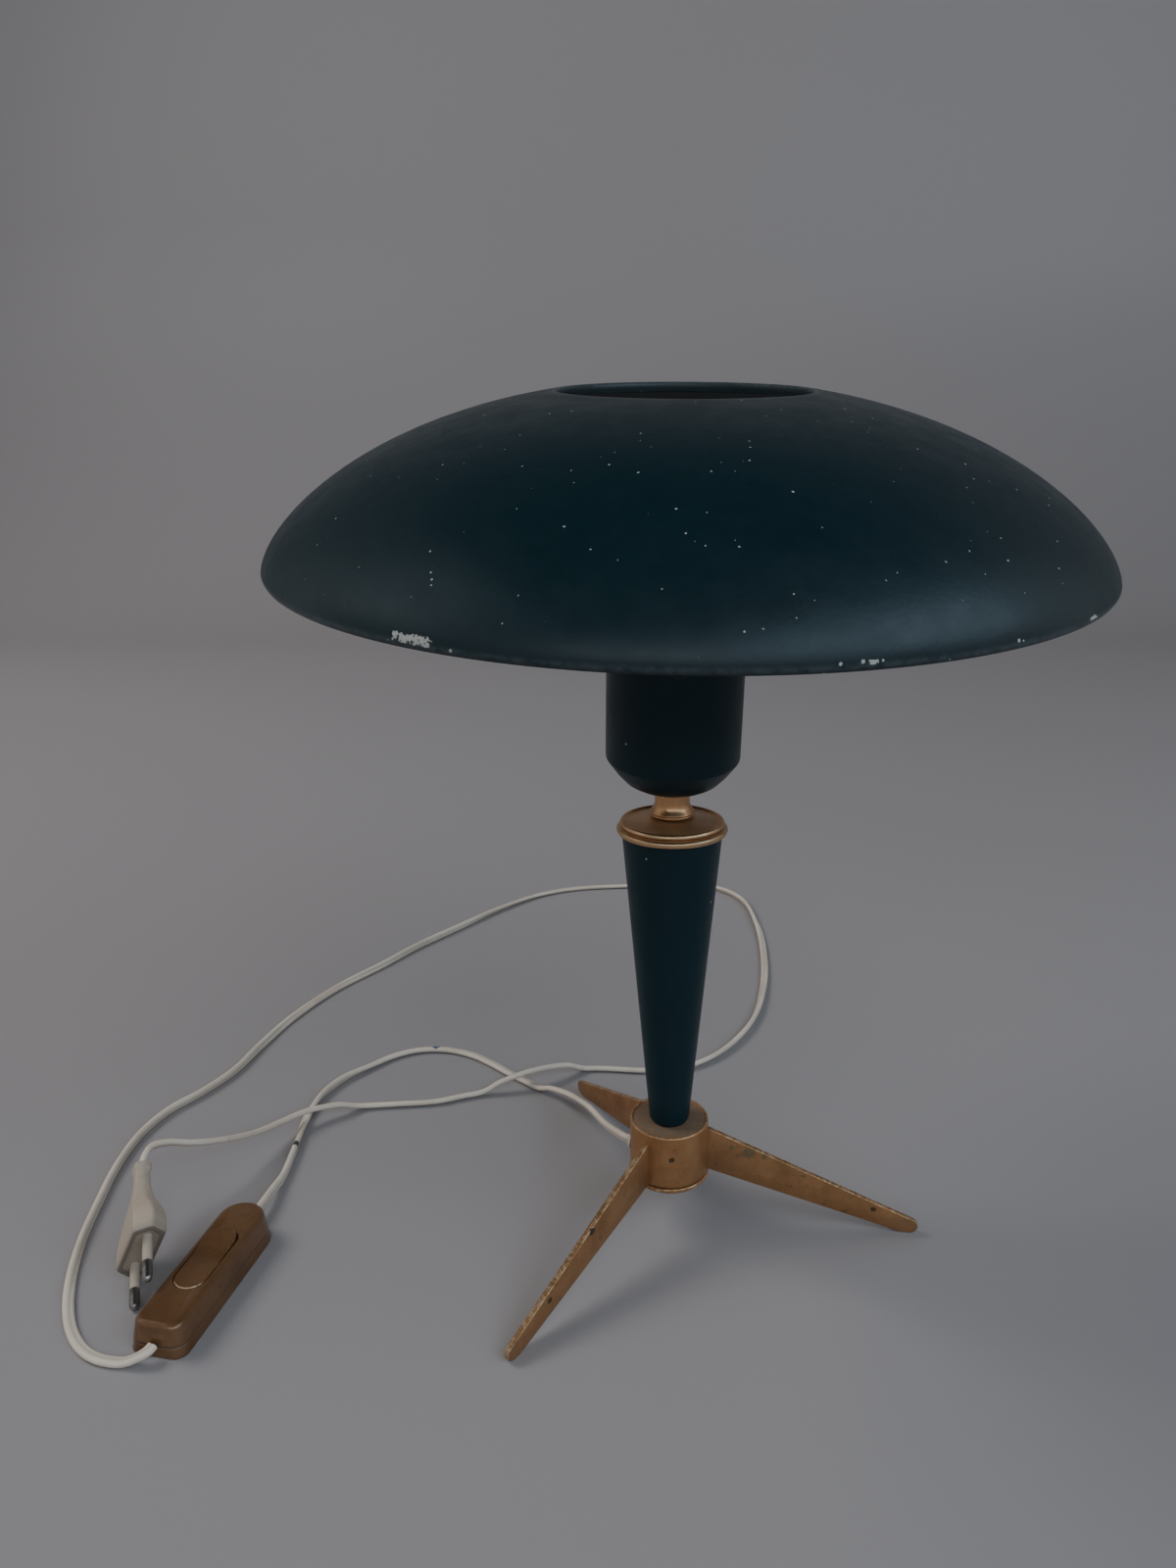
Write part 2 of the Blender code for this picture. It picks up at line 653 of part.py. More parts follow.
def switch_outline(inset, rounded=10):
    """Plan view: a half-round far end at +Y, small round corners at the near end."""
    half = SWITCH_WIDTH / MM / 2 - inset
    far = SWITCH_LENGTH / MM / 2 - inset
    corner = 5.2 - 0.5 * inset
    points = []
    for i in range(rounded + 1):
        a = math.pi * i / rounded
        points.append((half * math.cos(a), far - half + half * math.sin(a)))
    for x, start in ((corner - half, math.pi), (half - corner, 1.5 * math.pi)):
        for i in range(4):
            a = start + 0.5 * math.pi * i / 3
            points.append((x + corner * math.cos(a), corner - far + corner * math.sin(a)))
    return points


def drafted_shell(name, low, high, low_inset, high_inset, paint, collection=None):
    """An outline drawn up from one height to another with sloping sides."""
    mesh = bpy.data.meshes.new(name)
    shape = bmesh.new()
    start = [shape.verts.new((x * MM, y * MM, low)) for x, y in switch_outline(low_inset)]
    face = shape.faces.new(start)
    grown = bmesh.ops.extrude_face_region(shape, geom=[face])
    raised = [v for v in grown["geom"] if isinstance(v, bmesh.types.BMVert)]
    drawn_in = switch_outline(high_inset)
    flat = switch_outline(low_inset)
    for vert in raised:
        nearest = min(range(len(flat)), key=lambda i: math.dist(vert.co.xy, Vector(flat[i]) * MM))
        vert.co = (drawn_in[nearest][0] * MM, drawn_in[nearest][1] * MM, high)
    bmesh.ops.recalc_face_normals(shape, faces=shape.faces)
    shape.to_mesh(mesh)
    shape.free()
    return mesh_object(name, mesh, paint, collection)


def round_edges(ob, width, segments, angle=50.0):
    step = ob.modifiers.new("edges", "BEVEL")
    step.width = width * MM
    step.segments = segments
    step.limit_method = "ANGLE"
    step.angle_limit = math.radians(angle)
    return settle(ob)


def stadium(length, width, rounded=7):
    half, straight = width / 2, length / 2 - width / 2
    points = []
    for centre, start in ((straight, 0.0), (-straight, math.pi)):
        for i in range(rounded + 1):
            a = start + math.pi * i / rounded
            points.append((half * math.cos(a), centre + half * math.sin(a)))
    return points


def entry_holes(name):
    """The two holes the flex enters by."""
    mid = SWITCH_LENGTH / 2
    holes = []
    for end in (-1, 1):
        holes.append(round_bar(
            f"{name}_{end}", (0.0, end * (mid - 8 * MM), SWITCH_ENTRY_Z),
            (0.0, end * (mid + 4 * MM), SWITCH_ENTRY_Z), 2.0 * MM, None, 12, cutters,
        ))
    return holes


def make_switch():
    split, top, wall = SWITCH_SPLIT_Z, SWITCH_HEIGHT, SWITCH_WALL
    draft, thick = SWITCH_DRAFT / MM, SWITCH_WALL / MM
    middle = draft * split / top
    base = drafted_shell("switch_base", 0.0, split - 0.15 * MM, 0.2, 0.2 + middle, SWITCH_GOLD)
    round_edges(base, 0.5, 1)
    hollow = drafted_shell(
        "base_hollow", wall, top, thick + 0.5, thick + draft, None, cutters,
    )
    combine(base, [hollow] + entry_holes("base_entry"))
    cover = drafted_shell("switch_cover", split + 0.15 * MM, top, middle, draft, SWITCH_GOLD)
    trim = cover.modifiers.new("top_edge", "BEVEL")
    trim.width = 2.4 * MM
    trim.segments = 3
    trim.limit_method = "WEIGHT"
    weights = cover.data.attributes.new("bevel_weight_edge", "FLOAT", "EDGE")
    for edge in cover.data.edges:
        heights = [cover.data.vertices[v].co.z for v in edge.vertices]
        weights.data[edge.index].value = 1.0 if min(heights) > top - 0.1 * MM else 0.0
    settle(cover)
    hollow = drafted_shell(
        "cover_hollow", 0.0, top - wall, thick, thick + draft, None, cutters,
    )
    window = outline_plate(
        "rocker_window", [stadium(ROCKER_LENGTH / MM + 0.9, ROCKER_WIDTH / MM + 0.9)], 12.0 * MM,
        None, cutters,
    )
    window.location = (0.0, 0.0, top)
    combine(cover, [hollow, window] + entry_holes("cover_entry"))

    rocker = outline_plate(
        "switch_rocker", [stadium(ROCKER_LENGTH / MM, ROCKER_WIDTH / MM)], ROCKER_HEIGHT, SWITCH_GOLD,
    )
    # two shallow flats that dip to the axis, so that one half lies level and the other stands up
    flats = []
    for end in (-1, 1):
        flat = block(f"flat_{end}", (24 * MM, 36 * MM, 6 * MM), (0, 0, 0), None, cutters)
        slope = Matrix.Rotation(end * ROCKER_REST, 4, "X")
        flat.matrix_world = (
            Matrix.Translation((0.0, 0.0, ROCKER_HEIGHT / 2 - 1.0 * MM)) @ slope
            @ Matrix.Translation((0.0, end * 18 * MM, 3.0 * MM))
        )
        flats.append(flat)
    combine(rocker, flats)
    round_edges(rocker, 0.4, 1, 60.0)
    bore = round_bar(
        "pin_bore", (-9 * MM, 0, -0.9 * MM), (9 * MM, 0, -0.9 * MM), 1.1 * MM, None, 12, cutters,
    )
    combine(rocker, [bore])
    rocker.data.transform(Matrix.Translation((0.0, 0.0, 0.9 * MM)))
    rocker.matrix_world = (
        Matrix.Translation((0.0, 0.0, ROCKER_AXIS_Z)) @ Matrix.Rotation(ROCKER_REST, 4, "X")
    )
    pin = round_bar(
        "rocker_pin", (-7.7 * MM, 0, ROCKER_AXIS_Z), (7.7 * MM, 0, ROCKER_AXIS_Z), 0.8 * MM, STEEL, 12,
    )
    pieces = [base, cover, rocker, pin]
    for end, name in ((-1, "switch_contact_fixed"), (1, "switch_contact_moving")):
        pieces.append(block(
            name, (6 * MM, 8 * MM, 2 * MM), (0.0, end * 17.0 * MM, wall + 1.3 * MM), BRASS,
        ))
    place = Matrix.Translation(SWITCH_PLACE) @ Matrix.Rotation(SWITCH_TURN, 4, "Z")
    bpy.context.view_layer.update()
    for ob in pieces:
        ob.matrix_world = place @ ob.matrix_world
    return place


# ---------------------------------------------------------------- plug

def plug_body():
    """Flat moulded body: six-sided sections that narrow to a waist and a cable collar."""
    # distance behind the face, half width, half of the flat, half height
    stations = [
        (0.0, 17.2, 13.0, 6.5), (6.0, 17.4, 13.2, 6.6), (11.5, 15.6, 11.6, 6.3),
        (19.0, 9.6, 7.2, 5.2), (26.0, 4.8, 3.5, 3.9), (33.5, 3.5, 2.5, 3.1),
        (38.0, 3.7, 2.7, 3.2), (39.5, 4.5, 3.3, 3.6), (PLUG_LENGTH / MM, 4.4, 3.2, 3.5),
    ]
    mesh = bpy.data.meshes.new("plug_body")
    shape = bmesh.new()
    rings = []
    for back, wide, flat, tall in stations:
        section = [(wide, 0), (flat, tall), (-flat, tall), (-wide, 0), (-flat, -tall), (flat, -tall)]
        rings.append([shape.verts.new((-back * MM, y * MM, z * MM)) for y, z in section])
    for a, b in zip(rings, rings[1:]):
        for i in range(6):
            j = (i + 1) % 6
            shape.faces.new((a[i], a[j], b[j], b[i]))
    shape.faces.new(rings[0][::-1])
    shape.faces.new(rings[-1])
    bmesh.ops.recalc_face_normals(shape, faces=shape.faces)
    shape.to_mesh(mesh)
    shape.free()
    body = mesh_object("plug_body", mesh, PLUG_VINYL)
    round_edges(body, 0.9, 2, 24.0)
    holes = []
    for side in (-1, 1):
        y = side * PIN_SPACING / 2
        holes.append(round_bar(
            f"pin_hole_{side}", (-12 * MM, y, 0), (4 * MM, y, 0), PIN_R + GAP, None, 14, cutters,
        ))
    return combine(body, holes)


def make_plug():
    """Two pins along local +X with the body's width along Y."""
    turn = (
        Matrix.Rotation(PLUG_YAW, 4, "Z") @ Matrix.Rotation(PLUG_PITCH, 4, "Y")
        @ Matrix.Rotation(PLUG_ROLL, 4, "X")
    )
    place = Matrix.Translation(PLUG_PLACE) @ turn
    plug_body().matrix_world = place
    for k, side in enumerate((-1, 1)):
        pin = turned(f"plug_pin_{k + 1}", [
            (0.0, 19.0), (1.2, 18.6), (1.8, 17.6), (2.0, 16.2), (2.0, 10.4), (1.4, 10.4),
            (1.4, -11.0), (0.0, -11.0),
        ], STEEL, 12, closed=False)
        sleeve = turned(f"pin_sleeve_{k + 1}", [
            (1.95, 10.1), (1.95, -10.8), (1.62, -10.8), (1.62, 10.1),
        ], PLUG_VINYL, 12)
        root = Matrix.Translation((0.0, side * PIN_SPACING / 2, 0.0))
        toe_in = Matrix.Rotation(-side * math.radians(0.9), 4, "Z")
        along = Matrix.Rotation(math.pi / 2, 4, "Y")
        for ob in (pin, sleeve):
            ob.matrix_world = place @ root @ toe_in @ along
    return place


# ---------------------------------------------------------------- flex

def lead_route():
    """From the bushing across the hub's hollow and up through the rod into the ball."""
    reach = [(HUB_R / MM + 1.0, 0.0), (10.5, 0.0), (4.4, 0.5), (1.1, 2.6)]
    bend = [around(r * MM, CORD_HOLE_AZIMUTH, CORD_HOLE_Z + z * MM) for r, z in reach]
    return bend + [Vector((0.0, 0.0, z * MM)) for z in (40.0, 52.0, 130.0, 219.0)]


# Middle of the flex where it lies on the table, millimetres: hub to switch, then switch to plug
HUB_TO_SWITCH = [
    (-23.6, 16.4, 28.4), (-29.4, 29.0, 23.8), (-39.8, 54.0, 16.8), (-51.5, 75.0, 10.2),
    (-63.0, 88.0, 5.4), (-74.7, 97.4, 2.6), (-86.7, 106.7, 2.4), (-99.2, 117.0, 2.4),
    (-111.6, 125.0, 2.4), (-127.0, 129.5, 2.4), (-142.0, 128.0, 2.4), (-155.0, 120.5, 2.4),
    (-165.0, 109.0, 2.4), (-176.5, 94.0, 2.4), (-183.2, 75.0, 2.4), (-183.6, 54.0, 2.4),
    (-181.6, 39.5, 2.4), (-180.4, 27.5, 2.4), (-179.2, 13.0, 3.2), (-179.4, 0.0, 4.8),
]
SWITCH_TO_PLUG = [
    (-193.4, -99.7, 5.2), (-196.6, -100.6, 4.4), (-200.4, -100.8, 3.5), (-204.6, -100.3, 2.8),
    (-209.2, -99.2, 2.4), (-215.0, -96.9, 2.4), (-222.2, -92.0, 2.4), (-229.6, -83.6, 2.4),
    (-235.9, -73.9, 2.4), (-240.4, -64.6, 2.4), (-246.9, -48.9, 2.4), (-251.8, -32.7, 2.4),
    (-256.4, -11.2, 2.4), (-260.6, 12.0, 2.4), (-261.9, 38.7, 2.4), (-257.1, 60.2, 2.4),
    (-246.8, 78.3, 2.4), (-238.2, 98.9, 2.4), (-233.1, 129.0, 2.4), (-226.2, 161.7, 2.4),
    (-211.6, 199.5, 2.4), (-190.9, 233.1, 2.4), (-172.9, 264.9, 2.4), (-150.5, 297.6, 2.4),
    (-126.4, 332.8, 2.4), (-101.5, 360.3, 2.4), (-74.0, 375.0, 2.4), (-37.0, 381.8, 2.4),
    (1.7, 385.3, 2.4), (32.7, 380.1, 2.4), (51.6, 359.5, 2.4), (61.1, 313.0, 2.4),
    (61.9, 256.3, 2.4), (57.6, 211.6, 2.4), (49.5, 174.6, 2.4), (37.4, 147.9, 2.4),
    (23.2, 129.0, 2.4), (6.9, 117.4, 2.4), (-14.0, 113.9, 2.4), (-33.9, 114.5, 2.4),
    (-44.6, 114.0, 3.4), (-55.0, 109.5, 6.0), (-65.0, 103.0, 8.4), (-75.0, 96.4, 9.2),
    (-85.0, 91.6, 7.6), (-95.0, 88.0, 4.6), (-107.0, 83.6, 2.6), (-121.0, 77.5, 2.4),
    (-142.0, 73.8, 2.5), (-159.0, 70.4, 4.0), (-172.0, 63.0, 6.6), (-182.4, 55.4, 8.0),
    (-190.2, 44.5, 9.4), (-197.6, 29.0, 13.2), (-206.4, 12.0, 20.3), (-215.5, 0.8, 26.0),
    (-223.9, -5.4, 30.1), (-228.8, -11.2, 31.5),
]


def flex(name, start, start_way, middle, end, end_way, spacing):
    """A stretch of flex that leaves each end straight out."""
    stub = 4.0 * MM
    inner = [start + stub * start_way] + [Vector(p) * MM for p in middle] + [end + stub * end_way]
    return tube(name, [start] + smooth_route(inner, spacing) + [end], CORD_R, FLEX)


make_foot()
make_column()
make_ball_stud()
spherical_ring("joint_liner_lower", -57.0, -14.0, 4, NYLON)
spherical_ring("joint_liner_upper", 14.0, 65.0, 4, NYLON)
lean(make_head())
tube("column_lead", lead_route(), LEAD_R, FLEX)
switch_at = make_switch()
plug_at = make_plug()

hub_way = around(1.0, CORD_HOLE_AZIMUTH, 0.0)
hub_exit = around(HUB_R + 1.7 * MM, CORD_HOLE_AZIMUTH, CORD_HOLE_Z)
switch_end = SWITCH_LENGTH / 2 + 0.2 * MM
switch_way = switch_at.to_3x3() @ Vector((0.0, 1.0, 0.0))
far_exit = switch_at @ Vector((0.0, switch_end, SWITCH_ENTRY_Z))
near_exit = switch_at @ Vector((0.0, -switch_end, SWITCH_ENTRY_Z))
plug_way = plug_at.to_3x3() @ Vector((-1.0, 0.0, 0.0))
plug_entry = plug_at @ Vector((-PLUG_LENGTH - 0.3 * MM, 0.0, 0.0))
flex("cord_hub_to_switch", hub_exit, hub_way, HUB_TO_SWITCH, far_exit, switch_way, 0.0165)
flex("cord_switch_to_plug", near_exit, -switch_way, SWITCH_TO_PLUG, plug_entry, plug_way, 0.0208)
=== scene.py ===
import json
import math

import bmesh
import bpy
from mathutils import Matrix, Vector


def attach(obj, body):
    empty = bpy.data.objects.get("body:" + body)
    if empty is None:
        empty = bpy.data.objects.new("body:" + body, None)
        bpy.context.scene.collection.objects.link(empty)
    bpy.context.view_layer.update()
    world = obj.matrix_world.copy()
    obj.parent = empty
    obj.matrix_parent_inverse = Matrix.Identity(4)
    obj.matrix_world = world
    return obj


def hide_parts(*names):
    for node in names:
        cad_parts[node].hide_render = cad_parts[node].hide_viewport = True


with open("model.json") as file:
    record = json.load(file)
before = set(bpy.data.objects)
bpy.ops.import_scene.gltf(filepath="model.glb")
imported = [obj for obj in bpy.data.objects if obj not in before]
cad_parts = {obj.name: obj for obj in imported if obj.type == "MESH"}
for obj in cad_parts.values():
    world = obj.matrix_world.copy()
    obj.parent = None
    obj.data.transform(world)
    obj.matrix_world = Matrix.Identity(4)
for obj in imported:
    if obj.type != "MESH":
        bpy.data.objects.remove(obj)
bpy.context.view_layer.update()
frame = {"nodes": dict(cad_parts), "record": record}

nodes = frame["nodes"]
scene = bpy.context.scene

MM = 0.001
BALL_Z = 211.1
PIVOT = Vector((0.0, 0.0, BALL_Z * MM))
LEAN = (
    Matrix.Translation(PIVOT) @ Matrix.Rotation(math.radians(1.2), 4, "Y")
    @ Matrix.Rotation(math.radians(6.9), 4, "X") @ Matrix.Translation(-PIVOT)
)
HUB_R, HUB_LOW_Z, HUB_TOP_Z = 16.8, 24.4, 48.0
LEG_FIRST_AZIMUTH = math.radians(236.4)
CORD_HOLE_AZIMUTH = math.radians(158.0)
CORD_HOLE_Z = 31.6
SWITCH_TALL = 13.6
ROCKER_DIP = math.radians(3.4)
SWITCH_PLACE = (
    Matrix.Translation((-0.1860, -0.0568, 0.0)) @ Matrix.Rotation(math.radians(-8.0), 4, "Z")
)
PLUG_PLACE = (
    Matrix.Translation((-0.2124, -0.0579, 0.0154))
    @ Matrix.Rotation(math.radians(-66.8), 4, "Z")
    @ Matrix.Rotation(math.radians(19.0), 4, "Y") @ Matrix.Rotation(math.radians(68.0), 4, "X")
)


# -------- paints

class Nodes:
    """Short ways to add shader nodes to a tree."""

    def __init__(self, tree):
        self.tree = tree

    def put(self, socket, value):
        if isinstance(value, bpy.types.NodeSocket):
            self.tree.links.new(value, socket)
        else:
            socket.default_value = (*value, 1.0) if socket.type == "RGBA" else value

    def node(self, kind, sockets=None, **settings):
        node = self.tree.nodes.new("ShaderNode" + kind)
        for name, value in settings.items():
            setattr(node, name, value)
        for name, value in (sockets or {}).items():
            self.put(node.inputs[name], value)
        return node

    def math(self, operation, *values):
        return self.node("Math", dict(enumerate(values)), operation=operation).outputs[0]

    def span(self, value, low, high, start=0.0, end=1.0, smooth=True):
        """0..1 (or start..end) as the value goes from low to high."""
        return self.node("MapRange", {
            "Value": value, "From Min": low, "From Max": high, "To Min": start, "To Max": end,
        }, interpolation_type="SMOOTHSTEP" if smooth else "LINEAR").outputs[0]

    def mix(self, factor, a, b):
        node = self.node("Mix", {"Factor": factor}, data_type="RGBA")
        for socket, colour in zip([s for s in node.inputs if s.type == "RGBA"], (a, b)):
            self.put(socket, colour)
        return [s for s in node.outputs if s.type == "RGBA"][0]


class Paint(Nodes):
    """A material. Lengths in its textures are in metres.

    Pieces made here keep their upright, unplaced shape in the attribute "local".
    """

    def __init__(self, name, metallic=0.0, coat=0.0, specular=0.5, made_here=True):
        self.material = bpy.data.materials.new(name)
        self.material.use_nodes = True
        super().__init__(self.material.node_tree)
        self.shader = self.tree.nodes["Principled BSDF"]
        self.shader.inputs["Metallic"].default_value = metallic
        self.shader.inputs["Coat Weight"].default_value = coat
        self.shader.inputs["Specular IOR Level"].default_value = specular
        if made_here:
            self.place = self.node("Attribute", attribute_name="local").outputs["Vector"]
        else:
            self.place = self.node("TexCoord").outputs["Object"]

    def noise(self, size, detail=3.0, rough=0.5, place=None):
        """Noise whose blotches are about this many metres across."""
        return self.node("TexNoise", {
            "Vector": place or self.place, "Scale": 1.0 / size, "Detail": detail,
            "Roughness": rough,
        }).outputs[0]

    def cells(self, size):
        """Distance to scattered points, in cells, and two random numbers for each point."""
        node = self.node("TexVoronoi", {"Vector": self.place, "Scale": 1.0 / size})
        apart = self.node("SeparateColor", {0: node.outputs["Color"]})
        return node.outputs["Distance"], apart.outputs[0], apart.outputs[1]

    def attribute(self, name):
        return self.node("Attribute", attribute_name=name).outputs["Fac"]

    def part(self, axis):
        return self.node("SeparateXYZ", {0: self.place}).outputs[axis]

    def distance(self, place):
        sockets = {0: self.place, 1: place}
        return self.node("VectorMath", sockets, operation="DISTANCE").outputs["Value"]

    def near(self, place, radius, ragged=0.6, size=None):
        """1 inside a ragged blot about a point, both in metres."""
        far = self.distance(place)
        edge = self.noise(size or radius * 0.9, 4.0, 0.65)
        reach = self.math("MULTIPLY_ADD", edge, -2 * ragged * radius, radius * (1 + ragged))
        return self.math("LESS_THAN", far, reach)

    def sliver(self, place, long, high):
        """1 inside a long ragged flake that runs round the piece at one height."""
        far = self.distance(place)
        across = self.math("ABSOLUTE", self.math("SUBTRACT", self.part(2), place[2]))
        reach = self.math("MULTIPLY", across, 1.0 / high)
        reach = self.math("MAXIMUM", reach, self.math("MULTIPLY", far, 1.0 / long))
        ragged = self.span(self.noise(0.0016, 5.0, 0.75), 0.30, 0.58, 0.1, 1.25)
        return self.math("LESS_THAN", reach, ragged)

    def most(self, values):
        total = values[0]
        for value in values[1:]:
            total = self.math("MAXIMUM", total, value)
        return total

    def colour(self, value):
        self.put(self.shader.inputs["Base Color"], value)

    def roughness(self, value):
        self.put(self.shader.inputs["Roughness"], value)

    def bump(self, height, distance, strength):
        node = self.node("Bump", {"Strength": strength, "Distance": distance, "Height": height})
        self.put(self.shader.inputs["Normal"], node.outputs[0])


def speck_mask(paint, size, spread, share, clump=0.0):
    """Small irregular specks, one in a share of the cells of a given size."""
    wobble = paint.noise(size * 0.05, 2.0)
    far, chance, weight = paint.cells(size)
    reach = paint.math("MULTIPLY", paint.span(weight, 0.0, 1.0, 0.3, 1.0, False), spread)
    reach = paint.math("MULTIPLY", reach, paint.span(wobble, 0.3, 0.7, 0.5, 1.5))
    mask = paint.math("LESS_THAN", far, reach)
    mask = paint.math("MULTIPLY", mask, paint.math("GREATER_THAN", chance, 1.0 - share))
    if clump:
        where = paint.math("GREATER_THAN", paint.noise(0.05, 2.0), clump)
        mask = paint.math("MULTIPLY", mask, where)
    return mask


def lacquer(name, shade=False, chips=(), flakes=()):
    """Petrol lacquer; the shade's is darker and glossier, with more specks and a dusty top with a
    painted sheen.
    """
    paint = Paint(name, specular=0.36 if shade else 0.24)
    blotch = paint.noise(0.07, 4.0, 0.6)
    if shade:
        body = paint.mix(blotch, (0.0018, 0.0108, 0.0145), (0.0030, 0.0155, 0.0198))
    else:
        body = paint.mix(blotch, (0.0016, 0.0150, 0.0205), (0.0030, 0.0215, 0.0285))
    mottle = paint.noise(0.004, 3.0, 0.6)
    body = paint.mix(paint.span(mottle, 0.35, 0.75, 0.0, 0.2), body, (0.0040, 0.0200, 0.0270))
    if shade:
        x, y = paint.part(0), paint.part(1)
        squares = paint.math("MULTIPLY", x, x), paint.math("MULTIPLY", y, y)
        out = paint.math("SQRT", paint.math("ADD", *squares))
        # Lighter and greyer towards the mouth: dust and a painted sheen.
        dust = paint.span(out, 0.098, 0.048, 0.0, 0.34)
        patchy = paint.span(paint.noise(0.02, 5.0, 0.65), 0.25, 0.75, 0.55, 1.0)
        body = paint.mix(paint.math("MULTIPLY", dust, patchy), body, (0.022, 0.022, 0.020))
        bare = [
            speck_mask(paint, 0.0085, 0.043, 0.80), speck_mask(paint, 0.0036, 0.080, 0.45, 0.42),
        ]
    else:
        bare = [speck_mask(paint, 0.0130, 0.020, 0.22)]
    bare += [paint.near(*chip) for chip in chips]
    bare += [paint.sliver(*flake) for flake in flakes]
    bare = paint.most(bare)
    ragged = paint.span(paint.noise(0.0030, 5.0, 0.7), 0.30, 0.62, 0.12, 1.0)
    worn = paint.math("MULTIPLY", paint.attribute("wear"), ragged)
    body = paint.mix(paint.math("MULTIPLY", worn, 0.26), body, (0.15, 0.17, 0.18))
    chip = paint.mix(paint.noise(0.002, 2.0), (0.30, 0.29, 0.27), (0.46, 0.45, 0.42))
    body = paint.mix(bare, body, chip)
    paint.colour(body)
    gloss = paint.span(paint.noise(0.012, 5.0, 0.7), 0.3, 0.7, 0.34, 0.43)
    paint.roughness(paint.math("MAXIMUM", gloss, paint.math("MULTIPLY", bare, 0.7)))
    skin = paint.noise(0.0016, 2.0, 0.5)
    skin = paint.math("SUBTRACT", skin, paint.math("MULTIPLY", bare, 0.8))
    paint.bump(skin, 0.00006, 0.7)
    return paint.material


# Dark brown for grime; on the switch, the rocker and round the collar's neck it is painted shade.
DARK_DIRT_AND_SHADE = (0.045, 0.032, 0.023)


def gold(
    name, light, dark, metallic, gloss, green=(), stains=(), edges=(), dust=DARK_DIRT_AND_SHADE, clean=0.0,
    coat=0.0,
):
    """Old gold paint on metal, with a fine grain, grime, stains and bright bare edges.

    clean=1.0 leaves out the grain, pits and bump, for bare brass. A wear above 1 is a bright line
    without gaps;
    the rocker's and the beads' are painted highlights.
    """
    paint = Paint(name, metallic=metallic, coat=coat)
    paint.shader.inputs["Coat Roughness"].default_value = 0.2
    age = 1.0 - clean
    cloud = paint.noise(0.018, 5.0, 0.6)
    body = paint.mix(paint.span(cloud, 0.3, 0.72), dark, light)
    grain = paint.noise(0.00045, 2.0, 0.6)
    body = paint.mix(paint.span(grain, 0.3, 0.8, 0.0, 0.22 * age), body, [c * 1.7 for c in light])
    grime = paint.span(paint.noise(0.006, 6.0, 0.75), 0.56, 0.72, 0.0, 0.55 * age)
    body = paint.mix(grime, body, [c * 0.33 for c in dark])
    pits = speck_mask(paint, 0.0055, 0.060, 0.25 * age)
    body = paint.mix(pits, body, (0.030, 0.020, 0.014))
    ragged = paint.span(paint.noise(0.0018, 5.0, 0.75), 0.40, 0.62)
    worn = paint.math("MULTIPLY", paint.attribute("wear"), ragged)
    for x, y, slope, width, amount in edges:
        # distance inward from a straight edge through (x, y), in the side view
        line = paint.math("MULTIPLY_ADD", paint.part(0), slope, y - slope * x)
        inward = paint.math("ABSOLUTE", paint.math("SUBTRACT", line, paint.part(1)))
        strip = paint.span(inward, width, 0.0, 0.0, amount)
        worn = paint.math("MAXIMUM", worn, paint.math("MULTIPLY", strip, ragged))
    worn = paint.math("MAXIMUM", worn, paint.math("SUBTRACT", paint.attribute("wear"), 1.0))
    bright = paint.span(worn, 0.30, 0.62)
    body = paint.mix(bright, body, (0.64, 0.43, 0.25))
    patchy = paint.span(paint.noise(0.003, 5.0, 0.7), 0.25, 0.6, 0.5 + 0.35 * clean, 1.0)
    # Darkening towards the dust colour: grime, and painted shade on the switch, the rocker and the
    # collar's disc.
    darkened = paint.math("MULTIPLY", paint.attribute("dirt_and_shade"), patchy)
    body = paint.mix(darkened, body, dust)
    for spots, share, tint in (
        (green, 0.55, (0.105, 0.130, 0.080)), (stains, 0.85, (0.055, 0.040, 0.030)),
    ):
        if spots:
            mask = paint.most([paint.near(*spot, size=0.0015) for spot in spots])
            body = paint.mix(paint.math("MULTIPLY", mask, share), body, tint)
    paint.colour(body)
    dull = paint.math("MULTIPLY", paint.math("SUBTRACT", 1.0, darkened), metallic)
    paint.put(paint.shader.inputs["Metallic"], dull)
    base = paint.span(paint.noise(0.004, 5.0, 0.7), 0.3, 0.7, gloss, gloss + 0.12)
    paint.roughness(paint.math("MAXIMUM", base, paint.math("MULTIPLY", darkened, 0.75)))
    skin = paint.noise(0.0007, 3.0, 0.6)
    paint.bump(paint.math("MULTIPLY_ADD", pits, -0.7, skin), 0.00004, 0.45 * age)
    return paint.material


def flex_paint(name, marks=(), made_here=True):
    """Aged ivory sheath, darker in its groove; a mark is (place, radius, colour)."""
    paint = Paint(name, made_here=made_here)
    along = paint.noise(0.035, 4.0, 0.6)
    body = paint.mix(paint.span(along, 0.3, 0.7), (0.610, 0.515, 0.420), (0.735, 0.640, 0.535))
    grime = paint.span(paint.noise(0.0035, 6.0, 0.75), 0.55, 0.8, 0.0, 0.5)
    body = paint.mix(grime, body, (0.30, 0.255, 0.205))
    groove = paint.attribute("groove")
    body = paint.mix(paint.math("MULTIPLY", groove, 0.55), body, (0.30, 0.26, 0.22))
    for place, radius, tint in marks:
        body = paint.mix(paint.near(place, radius, 0.7, 0.0016), body, tint)
    paint.colour(body)
    paint.roughness(paint.span(paint.noise(0.006, 4.0, 0.6), 0.3, 0.7, 0.30, 0.45))
    paint.bump(paint.noise(0.0009, 3.0, 0.6), 0.00005, 0.5)
    return paint.material


